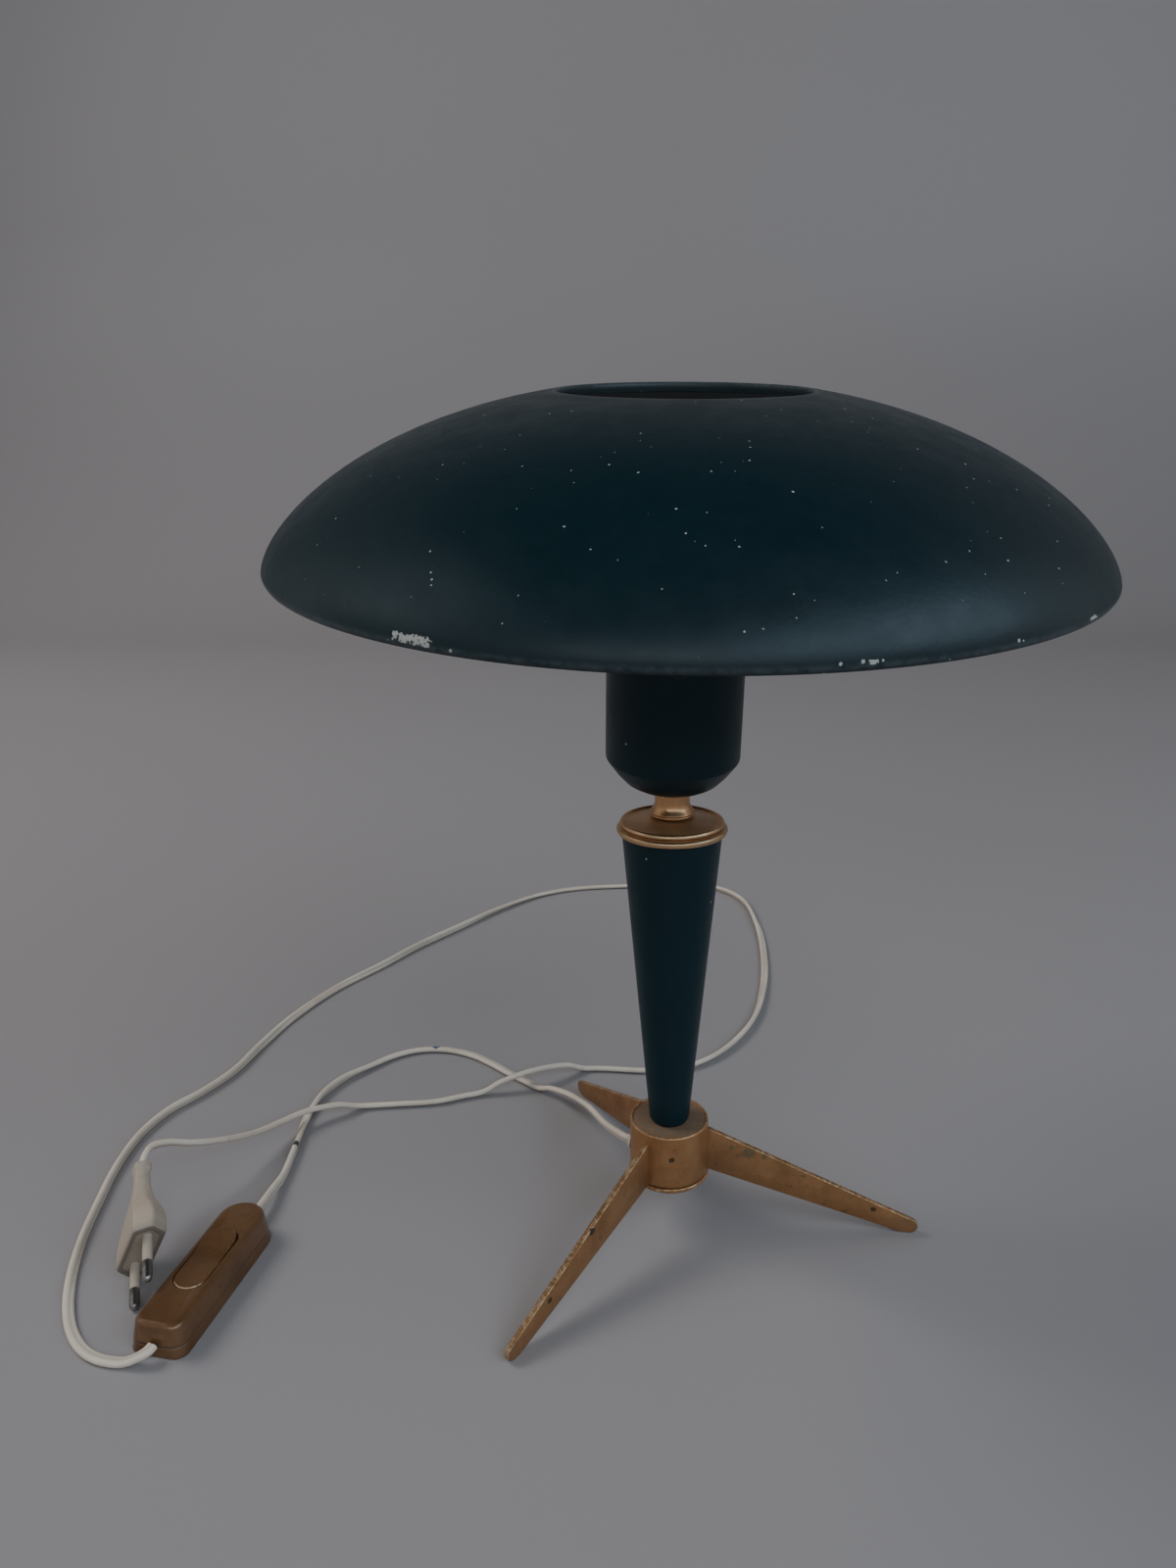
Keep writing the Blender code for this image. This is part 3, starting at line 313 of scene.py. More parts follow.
def vinyl(name, grimy_shaded_pin_face=False):
    """Ivory moulding, greyed by handling; the plug's face between the pins is dark with grime and
    painted shade.
    """
    paint = Paint(name)
    body = paint.mix(paint.noise(0.02, 4.0, 0.6), (0.390, 0.316, 0.246), (0.476, 0.392, 0.312))
    if grimy_shaded_pin_face:
        # Darker towards the pin face and dark on it: grime and painted shade, as the face points a
        # little down.
        edge = paint.span(paint.part(0), -0.0050, 0.0, 0.0, 0.35)
        face = paint.span(paint.part(0), -0.0010, -0.0002, 0.0, 0.85)
        body = paint.mix(paint.math("MAXIMUM", edge, face), body, (0.130, 0.103, 0.082))
    grime = paint.span(paint.noise(0.0028, 6.0, 0.75), 0.52, 0.78, 0.0, 0.6)
    body = paint.mix(grime, body, (0.215, 0.175, 0.140))
    paint.colour(body)
    paint.roughness(paint.span(paint.noise(0.004, 4.0, 0.6), 0.3, 0.7, 0.42, 0.60))
    paint.bump(paint.noise(0.0008, 4.0, 0.65), 0.00010, 0.6)
    return paint.material


def metal(name, light, dark, low, high, made_here=True):
    """Plated or machined metal with its drawing marks along Z."""
    paint = Paint(name, metallic=1.0, made_here=made_here)
    drawn = paint.node("Mapping", {"Vector": paint.place, "Scale": (1.0, 1.0, 0.15)}).outputs[0]
    lines = paint.noise(0.0006, 3.0, 0.7, drawn)
    tarnish = paint.noise(0.008, 5.0, 0.65)
    body = paint.mix(paint.span(tarnish, 0.3, 0.7), dark, light)
    body = paint.mix(paint.span(lines, 0.3, 0.8, 0.0, 0.25), body, [c * 0.5 for c in dark])
    spots = speck_mask(paint, 0.004, 0.14, 0.35)
    body = paint.mix(spots, body, [c * 0.3 for c in dark])
    paint.colour(body)
    paint.roughness(paint.span(lines, 0.2, 0.8, low, high))
    paint.bump(lines, 0.00003, 0.5)
    return paint.material


def moulded(name, light, dark, low, high, size=0.0008, coat=0.0, pale=0.08):
    """Moulded, cast or fired stuff of a carried-over part, with a faint grain and dust."""
    paint = Paint(name, coat=coat, made_here=False)
    body = paint.mix(paint.span(paint.noise(0.012, 5.0, 0.65), 0.3, 0.7), dark, light)
    dust = paint.span(paint.noise(0.0025, 6.0, 0.75), 0.55, 0.8, 0.0, 0.35)
    body = paint.mix(dust, body, [0.5 * c + pale for c in dark])
    paint.colour(body)
    paint.roughness(paint.span(paint.noise(0.004, 4.0, 0.6), 0.3, 0.7, low, high))
    paint.bump(paint.noise(size, 3.0, 0.6), 0.00005, 0.5)
    return paint.material


# -------- shapes

def finish_piece(ob, body, node, place=None):
    """Keep a piece's own coordinates for its paint, set it in place, and tie it to its body."""
    local = ob.data.attributes.new("local", "FLOAT_VECTOR", "POINT")
    for vert in ob.data.vertices:
        local.data[vert.index].vector = vert.co
    if place is not None:
        ob.data.transform(place)
    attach(ob, body)
    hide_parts(node)


def new_piece(name, mesh, paint, smooth):
    mesh.materials.append(paint)
    mesh.shade_smooth()
    mesh.set_sharp_from_angle(angle=math.radians(smooth))
    ob = bpy.data.objects.new(name, mesh)
    scene.collection.objects.link(ob)
    return ob


def rounded(corners, steps=4):
    """A profile from (radius, height) corners; a third number is the corner's fillet radius."""
    points = [Vector(corners[0][:2])]
    for before, here, after in zip(corners, corners[1:], corners[2:]):
        p, a, b = Vector(here[:2]), Vector(before[:2]), Vector(after[:2])
        fillet = here[2] if len(here) > 2 else 0.0
        into, out = (a - p), (b - p)
        turn = into.angle(out) if into.length > 1e-6 and out.length > 1e-6 else math.pi
        if fillet <= 0.0 or turn > math.pi - 0.02:
            points.append(p)
            continue
        cut = min(fillet / math.tan(turn / 2), 0.48 * into.length, 0.48 * out.length)
        start, end = p + into.normalized() * cut, p + out.normalized() * cut
        for i in range(steps + 1):
            t = i / steps
            points.append((1 - t) ** 2 * start + 2 * t * (1 - t) * p + t * t * end)
    points.append(Vector(corners[-1][:2]))
    return points


def flowing(points, per):
    """A smooth line through profile points."""
    points = [Vector(p) for p in points]
    ends = [2 * points[0] - points[1]] + points + [2 * points[-1] - points[-2]]
    made = []
    for p0, p1, p2, p3 in zip(ends, ends[1:], ends[2:], ends[3:]):
        for step in range(per):
            t = step / per
            made.append(0.5 * (
                2 * p1 + (p2 - p0) * t + (2 * p0 - 5 * p1 + 4 * p2 - p3) * t * t
                + (3 * p1 - p0 - 3 * p2 + p3) * t ** 3
            ))
    made.append(points[-1])
    return made


def grade(mesh, name, rule):
    """A number for each vertex, from a rule of its place in millimetres."""
    layer = mesh.attributes.new(name, "FLOAT", "POINT")
    for vert in mesh.vertices:
        layer.data[vert.index].value = rule(vert.co / MM)


def lathe(name, profile, paint, segments=96, closed=True, wear=None, dirt_and_shade=None, sharp=40.0):
    """Turn a millimetre profile, given down its outer side, about Z."""
    shape = bmesh.new()
    rings = []
    for r, z in profile:
        if abs(r) < 1e-5:
            rings.append([shape.verts.new((0.0, 0.0, z * MM))])
            continue
        rings.append([
            shape.verts.new((
                r * MM * math.cos(math.tau * i / segments),
                r * MM * math.sin(math.tau * i / segments), z * MM,
            )) for i in range(segments)
        ])
    pairs = list(zip(rings, rings[1:]))
    if closed:
        pairs.append((rings[-1], rings[0]))
    for above, below in pairs:
        for i in range(segments):
            j = (i + 1) % segments
            corners = [above[i % len(above)], below[i % len(below)]]
            if len(below) > 1:
                corners.append(below[j])
            if len(above) > 1:
                corners.append(above[j])
            if len(corners) > 2:
                shape.faces.new(corners)
    mesh = bpy.data.meshes.new(name)
    shape.to_mesh(mesh)
    shape.free()
    grade(mesh, "wear", wear or (lambda p: 0.0))
    grade(mesh, "dirt_and_shade", dirt_and_shade or (lambda p: 0.0))
    return new_piece(name, mesh, paint, sharp)


def loft(name, rings, paint, cap=(True, True), sharp=40.0):
    """Skin equal rings of points, in metres, with a flat cap at each end."""
    shape = bmesh.new()
    made = [[shape.verts.new(p) for p in ring] for ring in rings]
    count = len(made[0])
    for a, b in zip(made, made[1:]):
        for i in range(count):
            j = (i + 1) % count
            shape.faces.new((a[i], a[j], b[j], b[i]))
    if cap[0]:
        shape.faces.new(made[0][::-1])
    if cap[1]:
        shape.faces.new(made[-1])
    bmesh.ops.recalc_face_normals(shape, faces=shape.faces)
    mesh = bpy.data.meshes.new(name)
    shape.to_mesh(mesh)
    shape.free()
    return new_piece(name, mesh, paint, sharp)


def smooth_step(low, high, value):
    t = max(0.0, min(1.0, (value - low) / (high - low)))
    return t * t * (3 - 2 * t)


def arc(x, y, radius, start, end, steps):
    """Points on an arc, with its angles in degrees."""
    turns = [math.radians(start + (end - start) * i / steps) for i in range(steps + 1)]
    return [Vector((x + radius * math.cos(a), y + radius * math.sin(a))) for a in turns]


def evenly(fine, count, closed=True):
    """Equal steps along a line of close points; a closed line leaves out its last point."""
    lengths = [0.0]
    for a, b in zip(fine, fine[1:]):
        lengths.append(lengths[-1] + (b - a).length)
    made, index = [], 0
    for step in range(count if closed else count + 1):
        want = lengths[-1] * step / count
        while index < len(fine) - 2 and lengths[index + 1] < want:
            index += 1
        span = max(1e-9, lengths[index + 1] - lengths[index])
        made.append(fine[index].lerp(fine[index + 1], (want - lengths[index]) / span))
    return made


def weld(mesh, distance):
    welded = bmesh.new()
    welded.from_mesh(mesh)
    bmesh.ops.remove_doubles(welded, verts=welded.verts, dist=distance)
    welded.to_mesh(mesh)
    welded.free()


def around(radius, azimuth, z):
    return Vector((radius * math.cos(azimuth), radius * math.sin(azimuth), z))


# -------- camera

camera_data = bpy.data.cameras.new("camera")
camera_data.lens = 24.94
camera_data.sensor_width = 36.0
camera_data.clip_start = 0.01
camera = bpy.data.objects.new("camera", camera_data)
scene.collection.objects.link(camera)
right = Vector((0.996947, 0.077045, -0.012754))
up = Vector((-0.009649, 0.283583, 0.958904))
back = Vector((0.0775043, -0.95584753, 0.28345826))
camera.matrix_world = Matrix.Translation((0.0, -0.41015, 0.31941)) @ Matrix((
    (right.x, up.x, back.x, 0.0), (right.y, up.y, back.y, 0.0),
    (right.z, up.z, back.z, 0.0), (0.0, 0.0, 0.0, 1.0),
))
scene.camera = camera


# -------- flex

FLEX_WIDE = 2.25
FLEX_THIN = 1.42
ON_TABLE = 2.4  # height of a point that lies on the table, where the route gives only (x, y)
HUB_TO_SWITCH = [
    (-23.6, 16.4, 28.4), (-29.4, 29.0, 23.8), (-39.8, 54.0, 16.8), (-51.5, 75.0, 10.2),
    (-63.0, 88.0, 5.4), (-74.7, 97.4, 2.6), (-86.7, 106.7), (-99.2, 117.0), (-111.6, 125.0),
    (-127.0, 129.5), (-142.0, 128.0), (-155.0, 120.5), (-165.0, 109.0), (-176.5, 94.0),
    (-183.2, 75.0), (-183.6, 54.0), (-181.6, 39.5), (-180.4, 27.5), (-179.2, 13.0, 3.2),
    (-179.4, 0.0, 4.8),
]
SWITCH_TO_PLUG = [
    (-193.1, -97.9, 5.0), (-196.5, -98.8, 4.0), (-200.4, -99.1, 3.2), (-204.2, -99.1, 2.6),
    (-208.0, -98.8), (-212.2, -97.8), (-216.4, -96.0), (-220.6, -93.3), (-224.8, -89.6),
    (-228.9, -85.1), (-233.1, -79.3), (-237.2, -72.4), (-240.8, -65.1), (-244.0, -57.5),
    (-247.4, -47.8), (-251.8, -32.7), (-256.4, -11.2), (-260.6, 12.0), (-261.9, 38.7),
    (-257.1, 60.2), (-246.8, 78.3), (-238.2, 98.9), (-233.1, 129.0), (-226.2, 161.7),
    (-211.6, 199.5), (-190.9, 233.1), (-172.9, 264.9), (-150.5, 297.6), (-126.4, 332.8),
    (-101.5, 360.3), (-74.0, 375.0), (-37.0, 381.8), (1.7, 385.3), (32.7, 380.1), (51.6, 359.5),
    (61.1, 313.0), (61.9, 256.3), (57.6, 211.6), (49.5, 174.6), (37.4, 147.9), (23.2, 129.0),
    (6.9, 117.4), (-14.0, 113.9), (-33.9, 114.5), (-44.6, 114.0, 3.4), (-55.0, 109.5, 6.0),
    (-65.0, 103.0, 8.4), (-75.0, 96.4, 9.2), (-85.0, 91.6, 7.6), (-95.0, 88.0, 4.6),
    (-107.0, 83.6, 2.6), (-121.0, 77.5), (-142.0, 73.8, 2.5), (-159.0, 70.4, 4.0),
    (-172.0, 63.0, 6.6), (-182.4, 55.4, 8.0), (-190.2, 44.5, 9.4), (-197.6, 29.0, 13.2),
    (-206.4, 12.0, 20.3), (-215.5, 0.8, 26.0), (-223.9, -5.4, 30.1), (-228.8, -11.2, 31.5),
]


def way_length(path):
    return sum((b - a).length for a, b in zip(path, path[1:]))


def smooth_route(route, spacing):
    """Evenly spaced points on a centripetal Catmull-Rom curve through the route."""
    route = [Vector(p) for p in route]
    ends = [2 * route[0] - route[1]] + route + [2 * route[-1] - route[-2]]
    fine = []
    for p0, p1, p2, p3 in zip(ends, ends[1:], ends[2:], ends[3:]):
        t1 = (p1 - p0).length ** 0.5
        t2 = t1 + (p2 - p1).length ** 0.5
        t3 = t2 + (p3 - p2).length ** 0.5
        for step in range(24):
            t = t1 + (t2 - t1) * step / 24
            a1 = p0.lerp(p1, t / t1)
            a2 = p1.lerp(p2, (t - t1) / (t2 - t1))
            a3 = p2.lerp(p3, (t - t2) / (t3 - t2))
            b1 = a1.lerp(a2, t / t2)
            b2 = a2.lerp(a3, (t - t1) / (t3 - t1))
            fine.append(b1.lerp(b2, (t - t1) / (t2 - t1)))
    fine.append(route[-1])
    return evenly(fine, round(way_length(fine) / spacing), False)


def flat_flex(name, start, start_way, middle, end, end_way, twists, paint):
    """Twin flex: a flat section that turns about its line, and rests on the table where it is low.

    twists gives pairs of (share of the length, turn in degrees); 0 lies flat.
    """
    stub = 1.4 * MM
    middle = [Vector((x, y, *(z or (ON_TABLE,)))) * MM for x, y, *z in middle]
    route = [start, start + stub * start_way, *middle, end + stub * end_way, end]
    line = smooth_route(route, 2.2 * MM)
    count = len(line) - 1
    sections = 20
    rings, path = [], []
    for i, point in enumerate(line):
        share = i / count
        before, after = line[max(0, i - 1)], line[min(count, i + 1)]
        ahead = (after - before).normalized()
        level = Vector((0, 0, 1)).cross(ahead).normalized()
        rise = ahead.cross(level).normalized()
        for (s0, a0), (s1, a1) in zip(twists, twists[1:]):
            if s0 <= share <= s1:
                turn = math.radians(a0 + (a1 - a0) * smooth_step(s0, s1, share))
                break
        stands = math.hypot(FLEX_WIDE * math.sin(turn), FLEX_THIN * math.cos(turn)) * MM
        lying = 1 - smooth_step(3.0 * MM, 6.0 * MM, point.z)
        ends = smooth_step(0.0, 0.03, share) * smooth_step(1.0, 0.97, share) if lying < 1 else 1.0
        settled = max(ends, smooth_step(5.0 * MM, ON_TABLE * MM, point.z))
        centre = point.copy()
        centre.z -= (point.z - stands - 0.08 * MM) * lying * settled
        path.append(centre)
        ring = []
        for k in range(sections):
            a = math.tau * k / sections
            waist = 1 - 0.13 * math.exp(-(math.cos(a) / 0.24) ** 2)
            wide = FLEX_WIDE * math.copysign(abs(math.cos(a)) ** 0.86, math.cos(a))
            thin = FLEX_THIN * math.copysign(abs(math.sin(a)) ** 0.80, math.sin(a)) * waist
            x = (wide * math.cos(turn) - thin * math.sin(turn)) * MM
            y = (wide * math.sin(turn) + thin * math.cos(turn)) * MM
            ring.append(centre + level * x + rise * y)
        rings.append(ring)
    ob = loft(name, rings, paint)
    layer = ob.data.attributes.new("groove", "FLOAT", "POINT")
    for index in range(len(ob.data.vertices)):
        a = math.tau * (index % sections) / sections
        layer.data[index].value = math.exp(-(math.cos(a) / 0.2) ** 2)
    return ob, path


hub_way = around(1.0, CORD_HOLE_AZIMUTH, 0.0)
hub_exit = around((HUB_R + 1.7) * MM, CORD_HOLE_AZIMUTH, CORD_HOLE_Z * MM)
switch_way = SWITCH_PLACE.to_3x3() @ Vector((0.0, 1.0, 0.0))
far_exit, near_exit = (SWITCH_PLACE @ Vector((0.0, y, 0.0056)) for y in (0.03845, -0.03845))
plug_way = PLUG_PLACE.to_3x3() @ Vector((-1.0, 0.0, 0.0))
plug_entry = PLUG_PLACE @ Vector((-0.0423, 0.0, 0.0))

BLUE_MARK = Vector((-0.1321, 0.1300, 0.0040))
DARK_MARK = Vector((-0.1805, 0.0340, 0.0040))
ivory = flex_paint("ivory_flex_sheath", (
    (BLUE_MARK, 0.0024, (0.045, 0.095, 0.160)),
    (BLUE_MARK + Vector((0.0035, 0.0002, 0.0)), 0.0011, (0.060, 0.110, 0.170)),
    (DARK_MARK, 0.0018, (0.050, 0.055, 0.060)),
))
first, first_path = flat_flex(
    "flex_hub_to_switch", hub_exit, hub_way, HUB_TO_SWITCH, far_exit, switch_way, (
        (0.0, 80.0), (0.12, 70.0), (0.24, 25.0), (0.42, 8.0), (0.58, 20.0), (0.70, 85.0),
        (0.78, 30.0), (0.86, 90.0), (0.95, 98.0), (1.0, 90.0),
    ), ivory,
)
second, second_path = flat_flex(
    "flex_switch_to_plug", near_exit, -switch_way, SWITCH_TO_PLUG, plug_entry, plug_way, (
        (0.0, 0.0), (0.03, 10.0), (0.09, 75.0), (0.17, 100.0), (0.26, 20.0), (0.34, 80.0),
        (0.45, 170.0), (0.56, 110.0), (0.64, 180.0), (0.72, 250.0), (0.79, 200.0),
        (0.85, 207.0), (0.91, 205.0), (0.96, 207.0), (1.0, 235.0),
    ), ivory,
)
for ob, node in ((first, "cord_hub_to_switch"), (second, "cord_switch_to_plug")):
    finish_piece(ob, "stand", node)


# -------- tripod foot

GOLD_LIGHT = (0.510, 0.262, 0.116)
GOLD_DARK = (0.338, 0.162, 0.066)
LEG_LIGHT = (0.445, 0.228, 0.102)
LEG_DARK = (0.295, 0.142, 0.058)


def straight(a, b, steps=40):
    """Equal steps from a to b, without b."""
    return [
        (a[0] + (b[0] - a[0]) * i / steps, a[1] + (b[1] - a[1]) * i / steps) for i in range(steps)
    ]


def leg_outline():
    """The leg's side view, from its root along the top, round the foot and back."""
    reach, inner, root, top_z = 107.0, 13.0, 17.4, 44.3
    tip = []
    for i in range(13):
        a = math.radians(62 - 152 * i / 12)
        tip.append((reach - 3.8 + 3.8 * math.cos(a), 3.35 + 3.35 * math.sin(a)))
    tip[-1] = (reach - 3.8, 0.0)
    under = straight((reach - 6.4, 0.0), (root, HUB_LOW_Z)) + [(root, HUB_LOW_Z)]
    return [(inner, top_z)] + straight((root, top_z), tip[0]) + tip + under + [(inner, HUB_LOW_Z)]


def make_leg(k, green, stains):
    """A flat bar with softened, worn edges; local X runs out, Y up, Z across its thickness."""
    curve = bpy.data.curves.new(f"leg_line_{k}", "CURVE")
    curve.dimensions = "2D"
    curve.fill_mode = "BOTH"
    curve.extrude = 0.80 * MM
    curve.bevel_depth = 0.35 * MM
    curve.bevel_resolution = 2
    curve.offset = -0.35 * MM
    spline = curve.splines.new("POLY")
    outline = leg_outline()
    spline.points.add(len(outline) - 1)
    for point, (x, y) in zip(spline.points, outline):
        point.co = (x * MM, y * MM, 0.0, 1.0)
    spline.use_cyclic_u = True
    drawn = bpy.data.objects.new("drawn", curve)
    scene.collection.objects.link(drawn)
    bpy.context.view_layer.update()
    graph = bpy.context.evaluated_depsgraph_get()
    mesh = bpy.data.meshes.new_from_object(drawn.evaluated_get(graph), depsgraph=graph)
    bpy.data.objects.remove(drawn)
    weld(mesh, 0.003 * MM)
    grade(
        mesh, "wear", lambda p: (0.62 + 0.9 * smooth_step(102.0, 106.5, p.x))
        * smooth_step(1.14, 1.05, abs(p.z)) * smooth_step(0.3, 0.9, abs(p.z)),
    )
    grade(
        mesh, "dirt_and_shade", lambda p: 0.45 * smooth_step(100.0, 106.0, p.x)
        + 0.4 * smooth_step(19.0, 17.0, p.x),
    )
    mesh.materials.clear()
    paint = gold(
        f"gold_paint_leg_{k}", LEG_LIGHT, LEG_DARK, 0.72, 0.38, green, stains,
        ((0.0174, 0.0443, -0.4338, 0.0009, 0.80), (0.0174, 0.0244, -0.2933, 0.0006, 0.65)),
    )
    ob = new_piece(f"tripod_leg_{k}", mesh, paint, 35.0)
    place = Matrix.Rotation(LEG_FIRST_AZIMUTH + (k - 1) * math.tau / 3, 4, "Z")
    upright = Matrix.Rotation(math.pi / 2, 4, "X")
    finish_piece(ob, "stand", f"leg_{k}", place @ upright)


make_leg(1, (), (((0.056, 0.026, -0.0012), 0.0016), ((0.083, 0.012, -0.0012), 0.0013)))
make_leg(2, (
    ((0.0345, 0.034, 0.0012), 0.0026), ((0.041, 0.0325, 0.0012), 0.0013),
    ((0.058, 0.0245, 0.0012), 0.0009), ((0.027, 0.036, 0.0012), 0.0010),
), (((0.088, 0.0105, 0.0012), 0.0012),))
make_leg(3, (((0.050, 0.024, 0.0012), 0.0010),), (((0.036, 0.029, 0.0012), 0.0019),))

hub_paint = gold("gold_paint_hub", GOLD_LIGHT, GOLD_DARK, 0.72, 0.33, (), (
    ((0.0012, -0.0168, 0.0385), 0.0012),
), dust=(0.135, 0.104, 0.076))
hub = lathe("tripod_hub", rounded([
    (12.0, HUB_LOW_Z), (12.0, 44.8), (4.4, 44.8), (4.4, HUB_TOP_Z), (8.0, HUB_TOP_Z),
    (13.4, 48.05), (15.5, HUB_TOP_Z, 0.3), (15.9, 48.6, 0.25), (16.5, 48.6, 0.35),
    (HUB_R, HUB_TOP_Z, 0.3), (HUB_R, 40.0), (HUB_R, 32.0), (HUB_R, 24.9, 0.4),
    (16.4, HUB_LOW_Z, 0.3), (13.0, HUB_LOW_Z),
]), hub_paint, 128,
    wear=lambda p: smooth_step(48.15, 48.5, p.z) + 0.6 * smooth_step(25.0, 24.5, p.z),
    dirt_and_shade=lambda p: 0.9 * smooth_step(15.7, 15.1, p.xy.length) * smooth_step(47.5, 47.9, p.z),
)
finish_piece(hub, "stand", "hub")
plate = lathe("foot_plate", rounded([
    (0.0, 24.1), (13.0, 24.1), (17.2, 24.1, 0.7), (17.1, 22.6, 0.4), (16.3, 21.7, 0.4),
    (8.0, 21.7), (0.0, 21.7),
]), gold("gold_paint_plate", GOLD_LIGHT, GOLD_DARK, 0.72, 0.36), 128, closed=False,
    wear=lambda p: 0.8 * smooth_step(16.7, 17.15, p.xy.length),
    dirt_and_shade=lambda p: 0.7 * smooth_step(16.6, 15.8, p.xy.length),
)
finish_piece(plate, "stand", "base_plate")


# -------- column and neck

COLUMN_TOP_Z = 177.9
column = lathe("tapered_column", rounded([
    (18.9, COLUMN_TOP_Z), *straight((19.95, COLUMN_TOP_Z), (8.5, 49.9), 24), (8.5, 49.9, 0.8),
    (8.25, 49.2, 0.3), (8.0, 49.0, 0.2), (7.4, 49.0), (18.9, COLUMN_TOP_Z),
]), lacquer("petrol_lacquer_column", chips=(
    ((-0.0098, -0.0170, 0.1728), 0.0004), ((0.0155, -0.0082, 0.1520), 0.0004),
)), 128)
finish_piece(column, "stand", "column")

BRASS_LIGHT = (0.780, 0.445, 0.215)
BRASS_DARK = (0.560, 0.285, 0.122)
brass_paint = gold("aged_brass", BRASS_LIGHT, BRASS_DARK, 0.95, 0.29, clean=1.0)
dusty_brass = gold(
    "aged_brass_neck", (0.700, 0.395, 0.205), (0.500, 0.262, 0.120), 0.95, 0.26, clean=1.0,
)


BEAD_GROOVE_Z = 181.6
FOOT_GROOVE_Z = 186.85


def bell(value, middle, spread):
    return math.exp(-((value - middle) / spread) ** 2)


def groove_dirt_and_neck_shade(p):
    out = p.xy.length
    in_groove = 0.9 * bell(p.z, BEAD_GROOVE_Z, 0.16) * smooth_step(21.1, 20.4, out)
    # The disc darkens round the neck's foot: painted shade of the neck.
    neck_shade_on_disc = 0.36 * smooth_step(18.7, 17.6, out) * smooth_step(182.5, 183.0, p.z)
    return min(1.0, in_groove + neck_shade_on_disc)


def bead_wear_and_highlight(p):
    # A bright band round the beads' crests, without gaps: wear and a painted highlight.
    return 1.46 * smooth_step(19.6, 20.1, p.xy.length) * (1 - bell(p.z, BEAD_GROOVE_Z, 0.3))


collar = lathe("neck_collar", flowing([
    (7.6, 185.0), (10.2, 184.6), (14.2, 183.7), (17.9, 183.05), (18.6, 183.15), (19.4, 183.65),
    (20.2, 183.5), (20.7, 182.8), (20.7, 182.2), (20.3, 181.75), (20.2, BEAD_GROOVE_Z),
    (20.5, 181.45), (21.3, 181.2), (21.95, 180.5), (22.05, 179.7), (21.75, 178.9), (21.0, 178.4),
    (20.4, 178.3),
], 5) + rounded([
    (20.2, 178.2), (18.6, 178.2), (18.4, 175.3, 0.2), (15.5, 175.3), (15.5, 177.2), (4.5, 177.2),
    (4.5, 185.0),
]), brass_paint, 160, wear=bead_wear_and_highlight, dirt_and_shade=groove_dirt_and_neck_shade, sharp=60.0)
finish_piece(collar, "stand", "collar")
stud = lathe("ball_neck", arc(0.0, BALL_Z, 9.5, 72, -62, 28) + flowing([
    (4.05, 202.4), (3.85, 200.2), (3.8, 198.4), (3.9, 197.0), (4.4, 195.9), (5.3, 195.35),
    (6.2, 195.1), (6.75, 194.7), (6.9, 194.0), (6.9, 192.6), (6.95, 191.2), (7.15, 190.0),
    (7.6, 188.9), (8.25, 187.9), (8.6, 187.4), (8.7, 187.1), (8.4, FOOT_GROOVE_Z),
    (8.75, 186.55), (8.8, 186.0), (8.4, 185.6), (8.0, 185.4),
], 4) + rounded([
    (7.0, 185.4), (4.35, 185.4), (4.35, 191.4), (2.5, 192.6), (2.5, 220.1),
]), dusty_brass, 128,
    wear=lambda p: 0.25 * smooth_step(195.5, 192.0, p.z),
    dirt_and_shade=lambda p: 0.6 * bell(p.z, FOOT_GROOVE_Z, 0.15), sharp=60.0,
)
finish_piece(stud, "stand", "ball_stud")


# -------- head

SHADE_R, WIDE_Z, TOP_Z, MOUTH_R = 145.5, 289.7, 344.0, 45.1
OUT_POWER, UP_POWER = 2.16, 1.48
DOME_RISE = (TOP_Z - WIDE_Z) / (1 - (MOUTH_R / SHADE_R) ** OUT_POWER) ** (1 / UP_POWER)


def dome(count):
    """The dome's profile, from its mouth down to its widest point."""
    side = []
    for i in range(count + 1):
        r = SHADE_R - (SHADE_R - MOUTH_R) * (1 - i / count) ** 1.9
        lift = max(0.0, 1 - (r / SHADE_R) ** OUT_POWER) ** (1 / UP_POWER)
        side.append(Vector((r, WIDE_Z + DOME_RISE * lift)))
    return side


def on_dome(azimuth, height):
    lift = max(0.0, (height - WIDE_Z) / DOME_RISE)
    r = SHADE_R * (1 - lift ** UP_POWER) ** (1 / OUT_POWER)
    return around(r * MM, math.radians(azimuth), height * MM)


# azimuth, height and radius of each chip; azimuth, height, length and width of each flake
CHIPS = (
    (-120.6, 291.7, 0.55), (-116.0, 290.4, 0.6), (-113.2, 290.0, 0.45), (-74.6, 290.7, 0.45),
    (-72.3, 290.9, 0.55), (-70.2, 290.8, 0.35), (-53.3, 290.8, 0.5), (-52.6, 290.5, 0.3),
    (-120.6, 310.4, 0.30), (-118.8, 306.2, 0.30), (-118.2, 304.8, 0.34), (-117.9, 303.6, 0.24),
    (-90.9, 322.2, 0.32), (-89.6, 317.5, 0.28), (-102.2, 330.5, 0.28), (-83.8, 298.3, 0.28),
    (88.0, 290.6, 1.1), (171.0, 290.5, 0.8),
)
FLAKES = (
    (-118.4, 291.1, 5.2, 1.1), (-116.9, 290.8, 3.0, 0.9), (-71.2, 290.6, 1.1, 0.5),
    (-38.0, 290.3, 2.2, 0.5), (140.0, 290.4, 4.0, 0.8),
)
shade_paint = lacquer(
    "petrol_lacquer_shade", True,
    [(on_dome(azimuth, height), radius * MM) for azimuth, height, radius in CHIPS],
    [(on_dome(azimuth, height), long * MM, high * MM) for azimuth, height, long, high in FLAKES],
)


